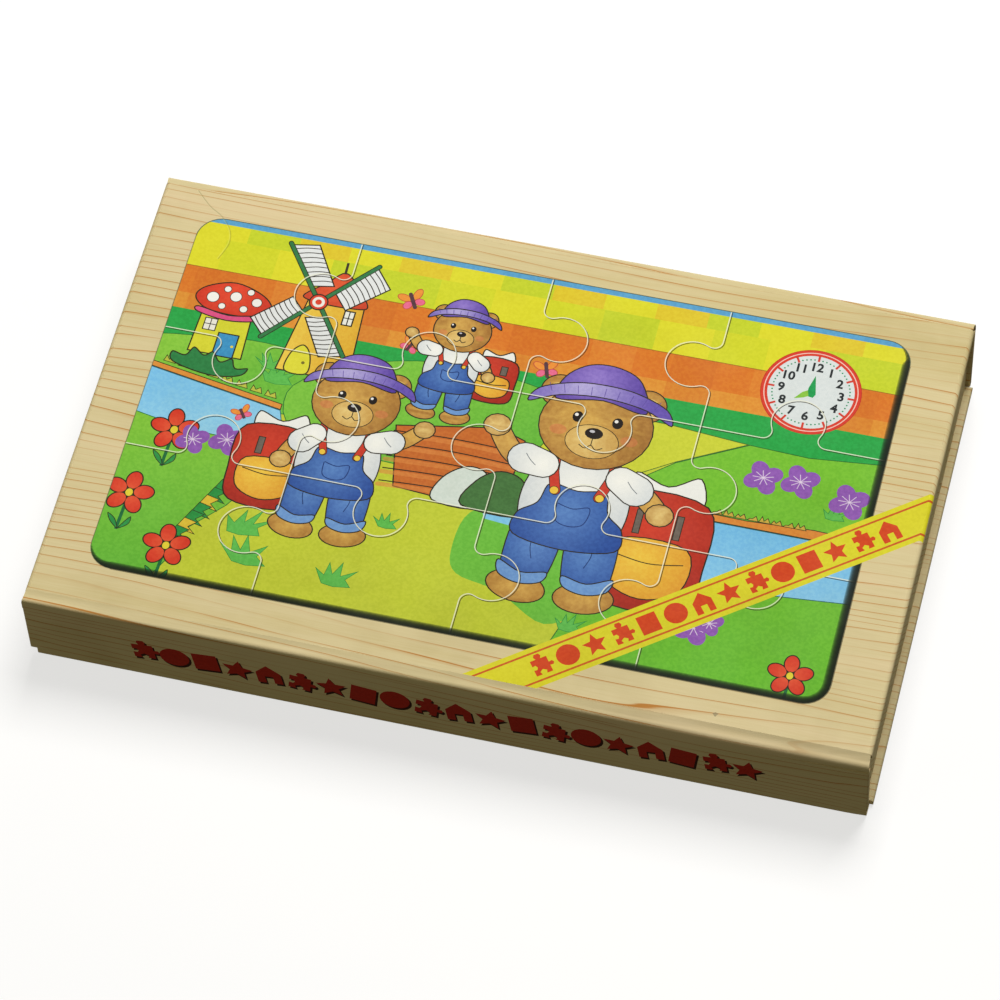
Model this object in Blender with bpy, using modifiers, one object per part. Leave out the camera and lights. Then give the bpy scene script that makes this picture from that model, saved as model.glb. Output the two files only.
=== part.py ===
"""Boxed jigsaw puzzle: a book-style box of wrapped board round a framed wooden jigsaw.

Metres, +X to the right along the spine, +Y towards the closing flap, +Z up.
The origin is on the table, at the centre of the closed box.
"""
from math import atan2, cos, pi, radians, sin, sqrt, tan

import bpy
from mathutils import Vector

# --- Driving dimensions ------------------------------------------------------

BOX_LENGTH = 0.225          # every cover board along X
BOX_DEPTH = 0.140           # outside of the spine to the back of the lid
BOX_HEIGHT = 0.027          # table to the top of the lid
BOARD = 0.0020              # thickness of a cover board with its paper
BOARD_EDGE = 0.0004         # rounding where the paper turns over a board
COVER_SKEW = 0.0008         # the lid was folded over this far to the left of the base

FOLD_RADIUS = 0.0035        # the soft folds above and below the spine
FOLD_PAPER = 0.0005         # thickness of a paper hinge
FOLD_INSET = 0.0010         # the hinge paper stops this short of the boards' ends
BASE_SETBACK = 0.0043       # outside of the spine to the front edge of the base

FLAP_LEAN = radians(3.0)    # the closing flap leans in against the base
FLAP_RADIUS = 0.0020        # fold between the lid and the flap
FLAP_OFF_TABLE = 0.0006     # lower end of the flap above the table

TRAY_LEDGE = 0.0020         # base showing outside the tray, at its two ends
TRAY_MARGIN = 0.0005        # the same at the front and the back
TRAY_WALL = 0.0015
TRAY_FLOOR = 0.0008

PUZZLE_CLEARANCE = 0.0010   # all round between the puzzle and the tray
FRAME_CORNER = 0.0030
BACKING = 0.0030
PIECE = 0.0050              # thickness of the frame and of the pieces
WINDOW_LENGTH = 0.186       # opening of the puzzle frame
WINDOW_DEPTH = 0.108
WINDOW_CORNER = 0.0066

COLUMN_CUTS = (0.0, 0.228, 0.498, 0.747, 1.0)   # shares of the opening, from the left
ROW_CUTS = (0.0, 0.337, 0.671, 1.0)             # shares of the opening, from the front
KNOB_HEIGHT = 0.0130        # from the line of a cut to the top of its knob
KNOB_RADIUS = 0.0068        # round head of a knob
KNOB_FILLET = 0.0023        # where a straight cut turns into the neck of a knob

GLUE_GAP = 0.0003           # between pieces that are glued or rest on each other
SAW_CUT = 0.0003            # between two jigsaw pieces, and round all of them

ARC_STEPS = 8               # flats in a quarter turn
NECK_STEPS = 6              # flats in a knob's fillet
HEAD_STEPS = 18             # flats in a knob's head

# --- Sizes worked out from them ----------------------------------------------

LID_X = -COVER_SKEW / 2
BASE_X = COVER_SKEW / 2
FRONT = -BOX_DEPTH / 2
BACK = BOX_DEPTH / 2
LID_UNDERSIDE = BOX_HEIGHT - BOARD

HINGE_IN = 0.75 * BOARD                  # hinge line behind the outer faces it joins
SPINE_HINGE = Vector((BASE_X, FRONT + HINGE_IN, HINGE_IN))
LID_HINGE = Vector((LID_X, FRONT + HINGE_IN, BOX_HEIGHT - HINGE_IN))
FLAP_HINGE = Vector((LID_X, BACK - FLAP_RADIUS, BOX_HEIGHT - FLAP_RADIUS))

BASE_FRONT = FRONT + BASE_SETBACK
FLAP_INNER_FACE_AT_TABLE = (
    FLAP_HINGE.y
    + (FLAP_RADIUS - BOARD) / cos(FLAP_LEAN)
    - FLAP_HINGE.z * tan(FLAP_LEAN)
)
BASE_BACK = FLAP_INNER_FACE_AT_TABLE - GLUE_GAP / cos(FLAP_LEAN)

TRAY_HALF_LENGTH = BOX_LENGTH / 2 - TRAY_LEDGE
TRAY_FRONT = BASE_FRONT + TRAY_MARGIN
TRAY_BACK = BASE_BACK - TRAY_MARGIN
TRAY_Y = (TRAY_FRONT + TRAY_BACK) / 2
TRAY_BOTTOM = BOARD + GLUE_GAP
WALL_HEIGHT = LID_UNDERSIDE - GLUE_GAP - TRAY_BOTTOM

PUZZLE_LENGTH = 2 * (TRAY_HALF_LENGTH - TRAY_WALL - PUZZLE_CLEARANCE)
PUZZLE_DEPTH = TRAY_BACK - TRAY_FRONT - 2 * (TRAY_WALL + PUZZLE_CLEARANCE)
BACKING_BOTTOM = TRAY_BOTTOM + TRAY_FLOOR + GLUE_GAP
PIECE_BOTTOM = BACKING_BOTTOM + BACKING + GLUE_GAP
PUZZLE_CENTRE = Vector((BASE_X, TRAY_Y, 0.0))


# --- Scene -------------------------------------------------------------------

for old in list(bpy.data.objects):
    bpy.data.objects.remove(old, do_unlink=True)

box = bpy.data.collections.new("boxed_jigsaw")
bpy.context.scene.collection.children.link(box)


def finish(name, colour, roughness):
    """A paper, card or wood finish."""
    material = bpy.data.materials.new(name)
    material.use_nodes = True
    shader = material.node_tree.nodes["Principled BSDF"]
    shader.inputs["Base Color"].default_value = (*colour, 1.0)
    shader.inputs["Roughness"].default_value = roughness
    shader.inputs["Metallic"].default_value = 0.0
    return material


def pivot(name, place, parent=None):
    """An empty on a joint's axis."""
    empty = bpy.data.objects.new(name, None)
    box.objects.link(empty)
    empty.empty_display_size = 0.01
    hang(empty, place, parent)
    return empty


def hang(thing, place, parent):
    """Put an object at a world position under an unturned parent."""
    thing.parent = parent
    above = Vector()
    while parent is not None:
        above += parent.location
        parent = parent.parent
    thing.location = Vector(place) - above


def board(name, low, high, parent, material, edge=0.0, origin=None, turn=0.0):
    """A flat board between two corners, measured before it turns about its origin's X axis."""
    low = Vector(low)
    high = Vector(high)
    origin = (low + high) / 2 if origin is None else Vector(origin)
    bpy.ops.mesh.primitive_cube_add(size=1.0)
    thing = bpy.context.object
    thing.name = name
    thing.data.name = name
    for vertex in thing.data.vertices:
        share = vertex.co + Vector((0.5, 0.5, 0.5))
        vertex.co = low + share * (high - low) - origin
    for collection in list(thing.users_collection):
        collection.objects.unlink(thing)
    box.objects.link(thing)
    thing.data.materials.append(material)
    if edge > 0:
        bevel = thing.modifiers.new("paper_edge", "BEVEL")
        bevel.width = min(edge, 0.4 * min(high - low))
        bevel.segments = 2
    hang(thing, origin, parent)
    thing.rotation_euler.x = turn
    return thing


def plate(name, outlines, thickness, place, parent, material, turn=(0.0, 0.0, 0.0)):
    """A flat plate cut to closed outlines, the first its edge and the others holes."""
    curve = bpy.data.curves.new(name, "CURVE")
    curve.dimensions = "2D"
    curve.fill_mode = "BOTH"
    curve.extrude = thickness / 2
    for outline in outlines:
        spline = curve.splines.new("POLY")
        spline.points.add(len(outline) - 1)
        for point, (x, y) in zip(spline.points, outline):
            point.co = (x, y, 0.0, 1.0)
        spline.use_cyclic_u = True
    curve.materials.append(material)
    thing = bpy.data.objects.new(name, curve)
    box.objects.link(thing)
    hang(thing, place, parent)
    thing.rotation_euler = turn
    return thing


def arc(centre, radius, start, end, steps=ARC_STEPS):
    """Points of an arc, both ends included; angles run from the first axis to the second."""
    return [
        (
            centre[0] + radius * cos(start + (end - start) * i / steps),
            centre[1] + radius * sin(start + (end - start) * i / steps),
        )
        for i in range(steps + 1)
    ]


def rounded_rectangle(length, depth, radius):
    """Outline of a plate with round corners, anticlockwise about its centre."""
    points = []
    for quarter, (side_x, side_y) in enumerate(((1, 1), (-1, 1), (-1, -1), (1, -1))):
        centre = (side_x * (length / 2 - radius), side_y * (depth / 2 - radius))
        start = quarter * pi / 2
        points += arc(centre, radius, start, start + pi / 2)
    return points


# --- Cover: base, spine, lid and closing flap --------------------------------

spine_hinge = pivot("spine_hinge", SPINE_HINGE)
lid_hinge = pivot("lid_hinge", LID_HINGE, spine_hinge)
flap_hinge = pivot("flap_hinge", FLAP_HINGE, lid_hinge)

printed_paper = (0.70, 0.60, 0.36)
half = BOX_LENGTH / 2

board(
    "base_board",
    (BASE_X - half, BASE_FRONT, 0.0),
    (BASE_X + half, BASE_BACK, BOARD),
    None,
    finish("base_paper", printed_paper, 0.45),
    BOARD_EDGE,
)
board(
    "spine_board",
    (LID_X - half, FRONT, FOLD_RADIUS + GLUE_GAP),
    (LID_X + half, FRONT + BOARD, BOX_HEIGHT - FOLD_RADIUS - GLUE_GAP),
    spine_hinge,
    finish("spine_paper", printed_paper, 0.40),
    BOARD_EDGE,
    origin=SPINE_HINGE,
)
board(
    "lid_board",
    (LID_X - half, FRONT + FOLD_RADIUS + GLUE_GAP, LID_UNDERSIDE),
    (LID_X + half, BACK - FLAP_RADIUS - GLUE_GAP, BOX_HEIGHT),
    lid_hinge,
    finish("lid_paper", (0.66, 0.58, 0.22), 0.35),
    BOARD_EDGE,
    origin=LID_HINGE,
)

# The flap is drawn hanging straight down from its fold and is then leant in.
FLAP_REACH = (FLAP_HINGE.z - FLAP_OFF_TABLE - BOARD * sin(FLAP_LEAN)) / cos(FLAP_LEAN)
flap_outer = FLAP_HINGE.y + FLAP_RADIUS
board(
    "closing_flap",
    (LID_X - half, flap_outer - BOARD, FLAP_HINGE.z - FLAP_REACH),
    (LID_X + half, flap_outer, FLAP_HINGE.z - GLUE_GAP),
    flap_hinge,
    finish("flap_paper", printed_paper, 0.40),
    BOARD_EDGE,
    origin=FLAP_HINGE,
    turn=-FLAP_LEAN,
)

# --- Paper hinges: bands of the covering paper between two boards ------------

ALONG_X = (pi / 2, 0.0, pi / 2)         # drawn in the Y-Z plane and pulled out along X


def paper_hinge(name, outer, inner, x_centre, hinge, parent, colour):
    """A band of paper, given by its outer and inner curves in Y and Z."""
    outline = [(y - hinge.y, z - hinge.z) for y, z in outer + inner[::-1]]
    plate(
        name,
        [outline],
        BOX_LENGTH - 2 * FOLD_INSET,
        (x_centre, hinge.y, hinge.z),
        parent,
        finish(name + "_paper", colour, 0.45),
        ALONG_X,
    )


def round_band(centre, radius, start, end):
    """The outer and inner curves of a band bent round a centre."""
    return arc(centre, radius, start, end), arc(centre, radius - FOLD_PAPER, start, end)


outer, inner = round_band(
    (FRONT + FOLD_RADIUS, BOX_HEIGHT - FOLD_RADIUS), FOLD_RADIUS, pi / 2, pi
)
paper_hinge("lid_fold", outer, inner, LID_X, LID_HINGE, spine_hinge, printed_paper)

outer, inner = round_band(
    (FLAP_HINGE.y, FLAP_HINGE.z), FLAP_RADIUS, pi / 2, -FLAP_LEAN
)
paper_hinge("flap_fold", outer, inner, LID_X, FLAP_HINGE, lid_hinge, printed_paper)

# Below the spine the paper runs straight down, turns under and comes back to the base.
turn_centre = (FRONT + HINGE_IN, HINGE_IN)
under = FOLD_PAPER / 5                  # the paper clears the table by this much
outer, inner = round_band(turn_centre, HINGE_IN, pi, 3 * pi / 2)
outer = (
    [(FRONT, FOLD_RADIUS)]
    + [(y, max(z, under)) for y, z in outer]
    + [(BASE_FRONT - GLUE_GAP, under)]
)
inner = (
    [(FRONT + FOLD_PAPER, FOLD_RADIUS)]
    + [(y, z + under) for y, z in inner]
    + [(BASE_FRONT - GLUE_GAP, under + FOLD_PAPER)]
)
paper_hinge("base_fold", outer, inner, BASE_X, SPINE_HINGE, spine_hinge, (0.55, 0.46, 0.27))

# --- Tray: a floor and four walls of card on the base ------------------------

card = (0.80, 0.76, 0.66)
wall_top = TRAY_BOTTOM + WALL_HEIGHT
inner_half = TRAY_HALF_LENGTH - TRAY_WALL

board(
    "tray_floor",
    (BASE_X - inner_half + GLUE_GAP, TRAY_FRONT + TRAY_WALL + GLUE_GAP, TRAY_BOTTOM),
    (BASE_X + inner_half - GLUE_GAP, TRAY_BACK - TRAY_WALL - GLUE_GAP, TRAY_BOTTOM + TRAY_FLOOR),
    None,
    finish("tray_floor_card", card, 0.60),
)
for side, sign in (("left", -1), ("right", 1)):
    ends = sorted((BASE_X + sign * inner_half, BASE_X + sign * TRAY_HALF_LENGTH))
    board(
        "tray_" + side + "_wall",
        (ends[0], TRAY_FRONT, TRAY_BOTTOM),
        (ends[1], TRAY_BACK, wall_top),
        None,
        finish("tray_" + side + "_card", card, 0.55),
    )
for side, near in (("front", TRAY_FRONT), ("rear", TRAY_BACK - TRAY_WALL)):
    board(
        "tray_" + side + "_wall",
        (BASE_X - inner_half + GLUE_GAP, near, TRAY_BOTTOM),
        (BASE_X + inner_half - GLUE_GAP, near + TRAY_WALL, wall_top),
        None,
        finish("tray_" + side + "_card", card, 0.55),
    )

# --- Puzzle: backing, frame and twelve pieces --------------------------------

puzzle_lift = pivot("puzzle_lift", PUZZLE_CENTRE)

plate(
    "puzzle_backing",
    [rounded_rectangle(PUZZLE_LENGTH, PUZZLE_DEPTH, FRAME_CORNER)],
    BACKING,
    PUZZLE_CENTRE + Vector((0, 0, BACKING_BOTTOM + BACKING / 2)),
    puzzle_lift,
    finish("backing_plywood", (0.62, 0.47, 0.28), 0.60),
)
plate(
    "puzzle_frame",
    [
        rounded_rectangle(PUZZLE_LENGTH, PUZZLE_DEPTH, FRAME_CORNER),
        rounded_rectangle(
            WINDOW_LENGTH + SAW_CUT, WINDOW_DEPTH + SAW_CUT, WINDOW_CORNER + SAW_CUT / 2
        ),
    ],
    PIECE,
    PUZZLE_CENTRE + Vector((0, 0, PIECE_BOTTOM + PIECE / 2)),
    puzzle_lift,
    finish("frame_pine", (0.76, 0.62, 0.38), 0.50),
)


def knobbed_cut(start, end, side):
    """A saw cut between two lattice points, with a round knob to the left (1) or right (-1)."""
    along = (end - start).normalized()
    across = Vector((-along.y, along.x)) * side
    middle = (start + end) / 2
    head = KNOB_HEIGHT - KNOB_RADIUS
    drop = head - KNOB_FILLET
    reach = sqrt((KNOB_RADIUS + KNOB_FILLET) ** 2 - drop**2)
    tilt = atan2(drop, reach)
    neck = arc((-reach, KNOB_FILLET), KNOB_FILLET, -pi / 2, tilt, NECK_STEPS)
    round_head = arc((0, head), KNOB_RADIUS, pi + tilt, -tilt, HEAD_STEPS)
    profile = neck + round_head[1:-1] + [(-run, rise) for run, rise in reversed(neck)]
    return [start] + [middle + along * run + across * rise for run, rise in profile]


def inset(outline, distance):
    """An anticlockwise outline moved inwards, with mitred corners."""
    moved = []
    for i, point in enumerate(outline):
        before = (point - outline[i - 1]).normalized()
        after = (outline[(i + 1) % len(outline)] - point).normalized()
        normal = Vector((-before.y, before.x)) + Vector((-after.y, after.x))
        normal.normalize()
        stretch = normal.dot(Vector((-after.y, after.x)))
        moved.append(point + normal * distance / stretch)
    return moved


columns = [WINDOW_LENGTH * (share - 0.5) for share in COLUMN_CUTS]
rows = [WINDOW_DEPTH * (share - 0.5) for share in ROW_CUTS]
last_column = len(columns) - 1
last_row = len(rows) - 1


def cut_side(line, step):
    """Knobs point alternately to one side and the other along the cuts."""
    return 1 if (line + step) % 2 else -1


def cut_between(line, step, upright):
    """The cut along a lattice line: from the front to the back, or from left to right."""
    if upright:
        start = Vector((columns[line], rows[step]))
        end = Vector((columns[line], rows[step + 1]))
        edge = line in (0, last_column)
    else:
        start = Vector((columns[step], rows[line]))
        end = Vector((columns[step + 1], rows[line]))
        edge = line in (0, last_row)
    if edge:
        return [start, end]
    return knobbed_cut(start, end, cut_side(line, step)) + [end]


def piece_outline(column, row):
    """Outline of one jigsaw piece, anticlockwise from its front left corner."""
    sides = (
        cut_between(row, column, False),
        cut_between(column + 1, row, True),
        cut_between(row + 1, column, False)[::-1],
        cut_between(column, row, True)[::-1],
    )
    outline = []
    for number, side in enumerate(sides):
        corner_x = column + (1 if number in (1, 2) else 0)
        corner_y = row + (1 if number in (2, 3) else 0)
        if corner_x in (0, last_column) and corner_y in (0, last_row):
            into = Vector((1 if corner_x == 0 else -1, 1 if corner_y == 0 else -1))
            centre = side[0] + into * WINDOW_CORNER
            start = pi + number * pi / 2
            outline += [Vector(p) for p in arc(centre, WINDOW_CORNER, start, start + pi / 2)]
        else:
            outline.append(side[0])
        outline += side[1:-1]
    return outline


picture_colours = ((0.42, 0.62, 0.10), (0.22, 0.48, 0.12), (0.86, 0.62, 0.06))
for row in range(last_row):
    for column in range(last_column):
        outline = inset(piece_outline(column, row), SAW_CUT / 2)
        centre = Vector((
            (columns[column] + columns[column + 1]) / 2,
            (rows[row] + rows[row + 1]) / 2,
        ))
        name = "piece_row%d_column%d" % (last_row - row, column + 1)
        plate(
            name,
            [[tuple(point - centre) for point in outline]],
            PIECE,
            PUZZLE_CENTRE + Vector((centre.x, centre.y, PIECE_BOTTOM + PIECE / 2)),
            puzzle_lift,
            finish(name + "_print", picture_colours[row], 0.35),
        )
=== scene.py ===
"""Boxed jigsaw puzzle: the looks of the box, its tray and its framed jigsaw."""
import math

import bmesh
import bpy
from mathutils import Matrix, Vector, noise
from mathutils.geometry import delaunay_2d_cdt


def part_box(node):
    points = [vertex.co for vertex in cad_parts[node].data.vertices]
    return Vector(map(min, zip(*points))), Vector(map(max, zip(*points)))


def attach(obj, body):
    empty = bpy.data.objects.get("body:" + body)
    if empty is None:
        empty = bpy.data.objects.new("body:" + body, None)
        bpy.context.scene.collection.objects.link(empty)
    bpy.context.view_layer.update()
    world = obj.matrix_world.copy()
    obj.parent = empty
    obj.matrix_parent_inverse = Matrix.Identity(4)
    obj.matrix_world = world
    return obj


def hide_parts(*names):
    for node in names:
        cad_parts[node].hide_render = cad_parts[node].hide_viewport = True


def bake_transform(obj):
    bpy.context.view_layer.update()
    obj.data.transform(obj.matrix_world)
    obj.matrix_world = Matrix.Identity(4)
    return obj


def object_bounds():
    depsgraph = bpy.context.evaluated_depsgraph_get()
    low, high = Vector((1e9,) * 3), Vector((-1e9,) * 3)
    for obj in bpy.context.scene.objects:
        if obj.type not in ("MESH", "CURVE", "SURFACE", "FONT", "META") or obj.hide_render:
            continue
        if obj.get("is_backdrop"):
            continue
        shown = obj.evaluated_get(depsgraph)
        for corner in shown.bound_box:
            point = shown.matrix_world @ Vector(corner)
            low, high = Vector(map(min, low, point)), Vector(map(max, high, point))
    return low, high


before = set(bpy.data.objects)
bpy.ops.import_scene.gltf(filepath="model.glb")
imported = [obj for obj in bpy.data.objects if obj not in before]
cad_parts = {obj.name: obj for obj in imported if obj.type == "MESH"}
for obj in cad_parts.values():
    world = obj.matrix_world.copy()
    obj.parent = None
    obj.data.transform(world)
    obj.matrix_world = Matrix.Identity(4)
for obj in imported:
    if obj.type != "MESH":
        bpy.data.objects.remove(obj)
cad_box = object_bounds()


# --- Camera, lights and floor ------------------------------------------------
# A long lens looks down at the lid over the front right corner of the box. A
# big soft light stands overhead and behind, so that the spine is in shade.

view = bpy.context.scene
view.view_settings.view_transform = "Standard"
view.view_settings.look = "None"

camera = bpy.data.objects.new("camera", bpy.data.cameras.new("camera"))
view.collection.objects.link(camera)
camera.data.sensor_width = 36.0
camera.data.lens = 187.2
camera.data.clip_end = 20.0
sight_right = Vector((0.96986, 0.24117, -0.03485))
sight_up = Vector((-0.18477, 0.82108, 0.54009))
sight_back = Vector((0.15887, -0.51737, 0.84089))
camera.matrix_world = Matrix.Translation((0.2181, -0.7183, 1.1741)) @ Matrix(
    (sight_right, sight_up, sight_back)
).transposed().to_4x4()
view.camera = camera


def studio_light(name, place, aim, size, power, tint=(1.0, 1.0, 1.0)):
    """A square area light that faces a point."""
    lamp = bpy.data.objects.new(name, bpy.data.lights.new(name, "AREA"))
    view.collection.objects.link(lamp)
    lamp.data.size = size
    lamp.data.energy = power
    lamp.data.color = tint
    lamp.location = place
    lamp.rotation_euler = (Vector(aim) - Vector(place)).to_track_quat("-Z", "Y").to_euler()


studio_light("overhead_light", (0.16, 0.80, 1.50), (0, 0, 0), 0.9, 28.5, (1.0, 0.985, 0.94))
studio_light("left_light", (-1.00, -0.75, 0.75), (0, 0, 0), 0.7, 1.5, (1.0, 0.94, 0.64))

air = bpy.data.worlds.new("studio")
view.world = air
air.use_nodes = True
air.node_tree.nodes["Background"].inputs["Color"].default_value = (1.0, 0.93, 0.64, 1)
air.node_tree.nodes["Background"].inputs["Strength"].default_value = 0.105


def deselect():
    """Operators act on all that is selected."""
    if bpy.context.object and bpy.context.object.mode != "OBJECT":
        bpy.ops.object.mode_set(mode="OBJECT")
    bpy.ops.object.select_all(action="DESELECT")


deselect()
bpy.ops.mesh.primitive_plane_add(size=14, location=(0, 3, -0.0001))
floor = bpy.context.object
floor.name = "floor"
floor.visible_diffuse = False
floor.visible_glossy = False
deselect()


def finish(name, roughness=0.5):
    """A new material, and its node tree and shader."""
    material = bpy.data.materials.new(name)
    material.use_nodes = True
    shader = material.node_tree.nodes["Principled BSDF"]
    shader.inputs["Roughness"].default_value = roughness
    return material, material.node_tree, shader


def node(tree, kind, settings=None, **inputs):
    """A shader node. Inputs are named, or i0, i1 and so on: a socket is linked, a value is set."""
    made = tree.nodes.new("ShaderNode" + kind)
    for key, value in (settings or {}).items():
        setattr(made, key, value)
    for key, value in inputs.items():
        place = int(key[1:]) if key[0] == "i" and key[1:].isdigit() else key.replace("_", " ")
        if isinstance(value, bpy.types.NodeSocket):
            tree.links.new(value, made.inputs[place])
        else:
            made.inputs[place].default_value = value
    return made


def maths(tree, operation, *values):
    inputs = {"i%d" % i: value for i, value in enumerate(values)}
    return node(tree, "Math", {"operation": operation}, **inputs).outputs[0]


def mix_colour(tree, factor, first, second, blend="MIX"):
    made = tree.nodes.new("ShaderNodeMix")
    made.data_type = "RGBA"
    made.blend_type = blend
    for socket, value in ((0, factor), (6, first), (7, second)):
        if isinstance(value, bpy.types.NodeSocket):
            tree.links.new(value, made.inputs[socket])
        else:
            made.inputs[socket].default_value = value
    return made.outputs[2]


def ramp(tree, factor, stops, smooth=True):
    made = tree.nodes.new("ShaderNodeValToRGB")
    made.color_ramp.interpolation = "EASE" if smooth else "LINEAR"
    elements = made.color_ramp.elements
    while len(elements) < len(stops):
        elements.new(0.5)
    for element, (place, colour) in zip(elements, stops):
        element.position = place
        element.color = colour if len(colour) == 4 else (*colour, 1)
    tree.links.new(factor, made.inputs[0])
    return made.outputs[0]


def tint(red, green, blue):
    """A printer's colour, 0 to 255, as the linear light that a shader takes."""
    return tuple(
        (c / 255 / 12.92) if c <= 10 else ((c / 255 + 0.055) / 1.055) ** 2.4
        for c in (red, green, blue)
    ) + (1.0,)


def noisy(tree, place, scale, detail=2.0, stretch=(1, 1, 1), roughness=0.5, shift=(0, 0, 0)):
    """Noise over a stretched place, 0 to 1."""
    mapped = node(tree, "Mapping", i0=place, Scale=stretch, Location=shift).outputs[0]
    made = node(tree, "TexNoise", Vector=mapped, Scale=scale, Detail=detail, Roughness=roughness)
    return made.outputs[0]


def bump(tree, shader, height, strength, distance):
    made = node(tree, "Bump", Strength=strength, Distance=distance, Height=height)
    tree.links.new(made.outputs[0], shader.inputs["Normal"])


floor_finish, tree, shader = finish("pale_floor", 0.9)
place = node(tree, "TexCoord").outputs["Object"]
speckle = noisy(tree, place, 6.0, 3.0)
tree.links.new(
    ramp(tree, speckle, ((0.3, (0.35, 0.35, 0.36)), (0.7, (0.37, 0.37, 0.375)))),
    shader.inputs["Base Color"],
)
shader.inputs["Emission Color"].default_value = (1, 1, 1, 1)
shader.inputs["Emission Strength"].default_value = 0.68
floor.data.materials.append(floor_finish)
floor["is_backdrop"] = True


# --- Covering paper ----------------------------------------------------------
# All the boards are wrapped in one printed paper with a pale pine look: cream,
# with thin orange lines along the box that close in long loops here and there.

PINE_LINES = 350.0  # per metre across the grain
BOX_TOP = 0.027  # the height of the upper side of the lid
BOX_END = 0.1115  # where the covering turns down over the ends


def wood_print(tree, sheet):
    """The pine pattern of the paper; sheet is the place on the laid-out paper, in metres."""
    across = node(tree, "SeparateXYZ", i0=sheet).outputs[1]
    slow = noisy(tree, sheet, 1.0, 1.0, (3.2, 26, 1))
    fine = noisy(tree, sheet, 1.0, 1.0, (7, 150, 1), shift=(3, 7, 0))
    height = maths(tree, "MULTIPLY", across, PINE_LINES)
    height = maths(tree, "MULTIPLY_ADD", slow, 11.0, height)
    height = maths(tree, "MULTIPLY_ADD", fine, 1.6, height)
    line = ramp(tree, maths(tree, "FRACT", height), (
        (0.0, (0, 0, 0)), (0.76, (0, 0, 0)), (0.915, (0.30, 0.30, 0.30)),
        (0.945, (1, 1, 1)), (0.985, (1, 1, 1)), (1.0, (0, 0, 0)),
    ), smooth=False)
    strength = ramp(tree, noisy(tree, sheet, 1.0, 2.0, (14, 90, 1), shift=(5, 1, 0)), (
        (0.36, (0.22, 0.22, 0.22)), (0.56, (1, 1, 1)),
    ))
    line = maths(tree, "MULTIPLY", line, strength)
    ground = ramp(tree, noisy(tree, sheet, 1.0, 3.0, (7, 60, 1), shift=(1, 4, 0)), (
        (0.30, tint(212, 196, 144)), (0.50, tint(221, 206, 160)), (0.72, tint(228, 209, 167)),
    ))
    hair = ramp(tree, noisy(tree, sheet, 1.0, 2.0, (60, 2200, 1), roughness=0.7), (
        (0.35, tint(196, 168, 110)), (0.65, tint(236, 222, 184)),
    ))
    ground = mix_colour(tree, 0.09, ground, hair)
    return mix_colour(tree, maths(tree, "MULTIPLY", line, 0.95), ground, tint(190, 124, 44))


def printed_over(tree, place, ground):
    """The piece's own printed picture over a ground, with a faint grain in its inks."""
    picture = node(tree, "VertexColor", {"layer_name": "picture"})
    grain = ramp(tree, noisy(tree, place, 1100.0, 2.0), (
        (0.35, (0.25, 0.25, 0.25)), (0.65, (0.75, 0.75, 0.75)),
    ))
    painted = mix_colour(tree, 0.22, picture.outputs[0], grain, "SOFT_LIGHT")
    return mix_colour(tree, picture.outputs[1], ground, painted)


def paper_finish(name, printed=False):
    """Satin paper with the pine pattern, and with a picture over it where one is printed."""
    material, tree, shader = finish(name)
    colour = wood_print(tree, node(tree, "UVMap", {"uv_map": "paper"}).outputs[0])
    place = node(tree, "TexCoord").outputs["Object"]
    if printed:
        colour = printed_over(tree, place, colour)
    dirt = ramp(tree, noisy(tree, place, 28.0, 4.0, roughness=0.6, shift=(2, 2, 2)), (
        (0.25, (0.90, 0.89, 0.86)), (0.55, (1, 1, 1)),
    ))
    tree.links.new(mix_colour(tree, 1.0, colour, dirt, "MULTIPLY"), shader.inputs["Base Color"])
    gloss = ramp(tree, noisy(tree, place, 60.0, 3.0), (
        (0.3, (0.56, 0.56, 0.56)), (0.7, (0.68, 0.68, 0.68)),
    ))
    tree.links.new(gloss, shader.inputs["Roughness"])
    shader.inputs["Specular IOR Level"].default_value = 0.12
    fibre = noisy(tree, place, 1500.0, 3.0, roughness=0.65)
    swell = noisy(tree, place, 22.0, 2.0)
    bump(tree, shader, maths(tree, "MULTIPLY_ADD", fibre, 0.05, swell), 0.25, 0.0006)
    return material


covering = paper_finish("wood_print_paper")


def block(name, low, high):
    """A closed box between two corners, with its place in its mesh."""
    deselect()
    low, high = Vector(low), Vector(high)
    bpy.ops.mesh.primitive_cube_add(size=1, location=(low + high) / 2)
    made = bpy.context.object
    made.name = made.data.name = name
    made.scale = high - low
    bpy.ops.object.transform_apply(location=True, rotation=False, scale=True)
    return made


def pick(piece, faces=None, edges=None):
    """Edit mode, with the faces or edges selected that answer to a test."""
    bpy.context.view_layer.objects.active = piece
    piece.select_set(True)
    bpy.ops.object.mode_set(mode="EDIT")
    bpy.ops.mesh.select_mode(type="FACE" if faces else "EDGE")
    bpy.ops.mesh.select_all(action="DESELECT")
    mesh = bmesh.from_edit_mesh(piece.data)
    if faces:
        for face in mesh.faces:
            face.select_set(bool(faces(face.calc_center_median(), face.normal)))
    else:
        for edge in mesh.edges:
            a, b = (v.co for v in edge.verts)
            edge.select_set(bool(edges((a + b) / 2, (b - a).normalized())))
    bmesh.update_edit_mesh(piece.data)


def round_edges(piece, width, steps, edges):
    pick(piece, edges=edges)
    bpy.ops.mesh.bevel(offset=width, segments=steps, profile=0.5)
    bpy.ops.object.mode_set(mode="OBJECT")


def smooth(piece, angle=40):
    deselect()
    bpy.context.view_layer.objects.active = piece
    piece.select_set(True)
    bpy.ops.object.shade_smooth_by_angle(angle=math.radians(angle))
    deselect()


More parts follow.
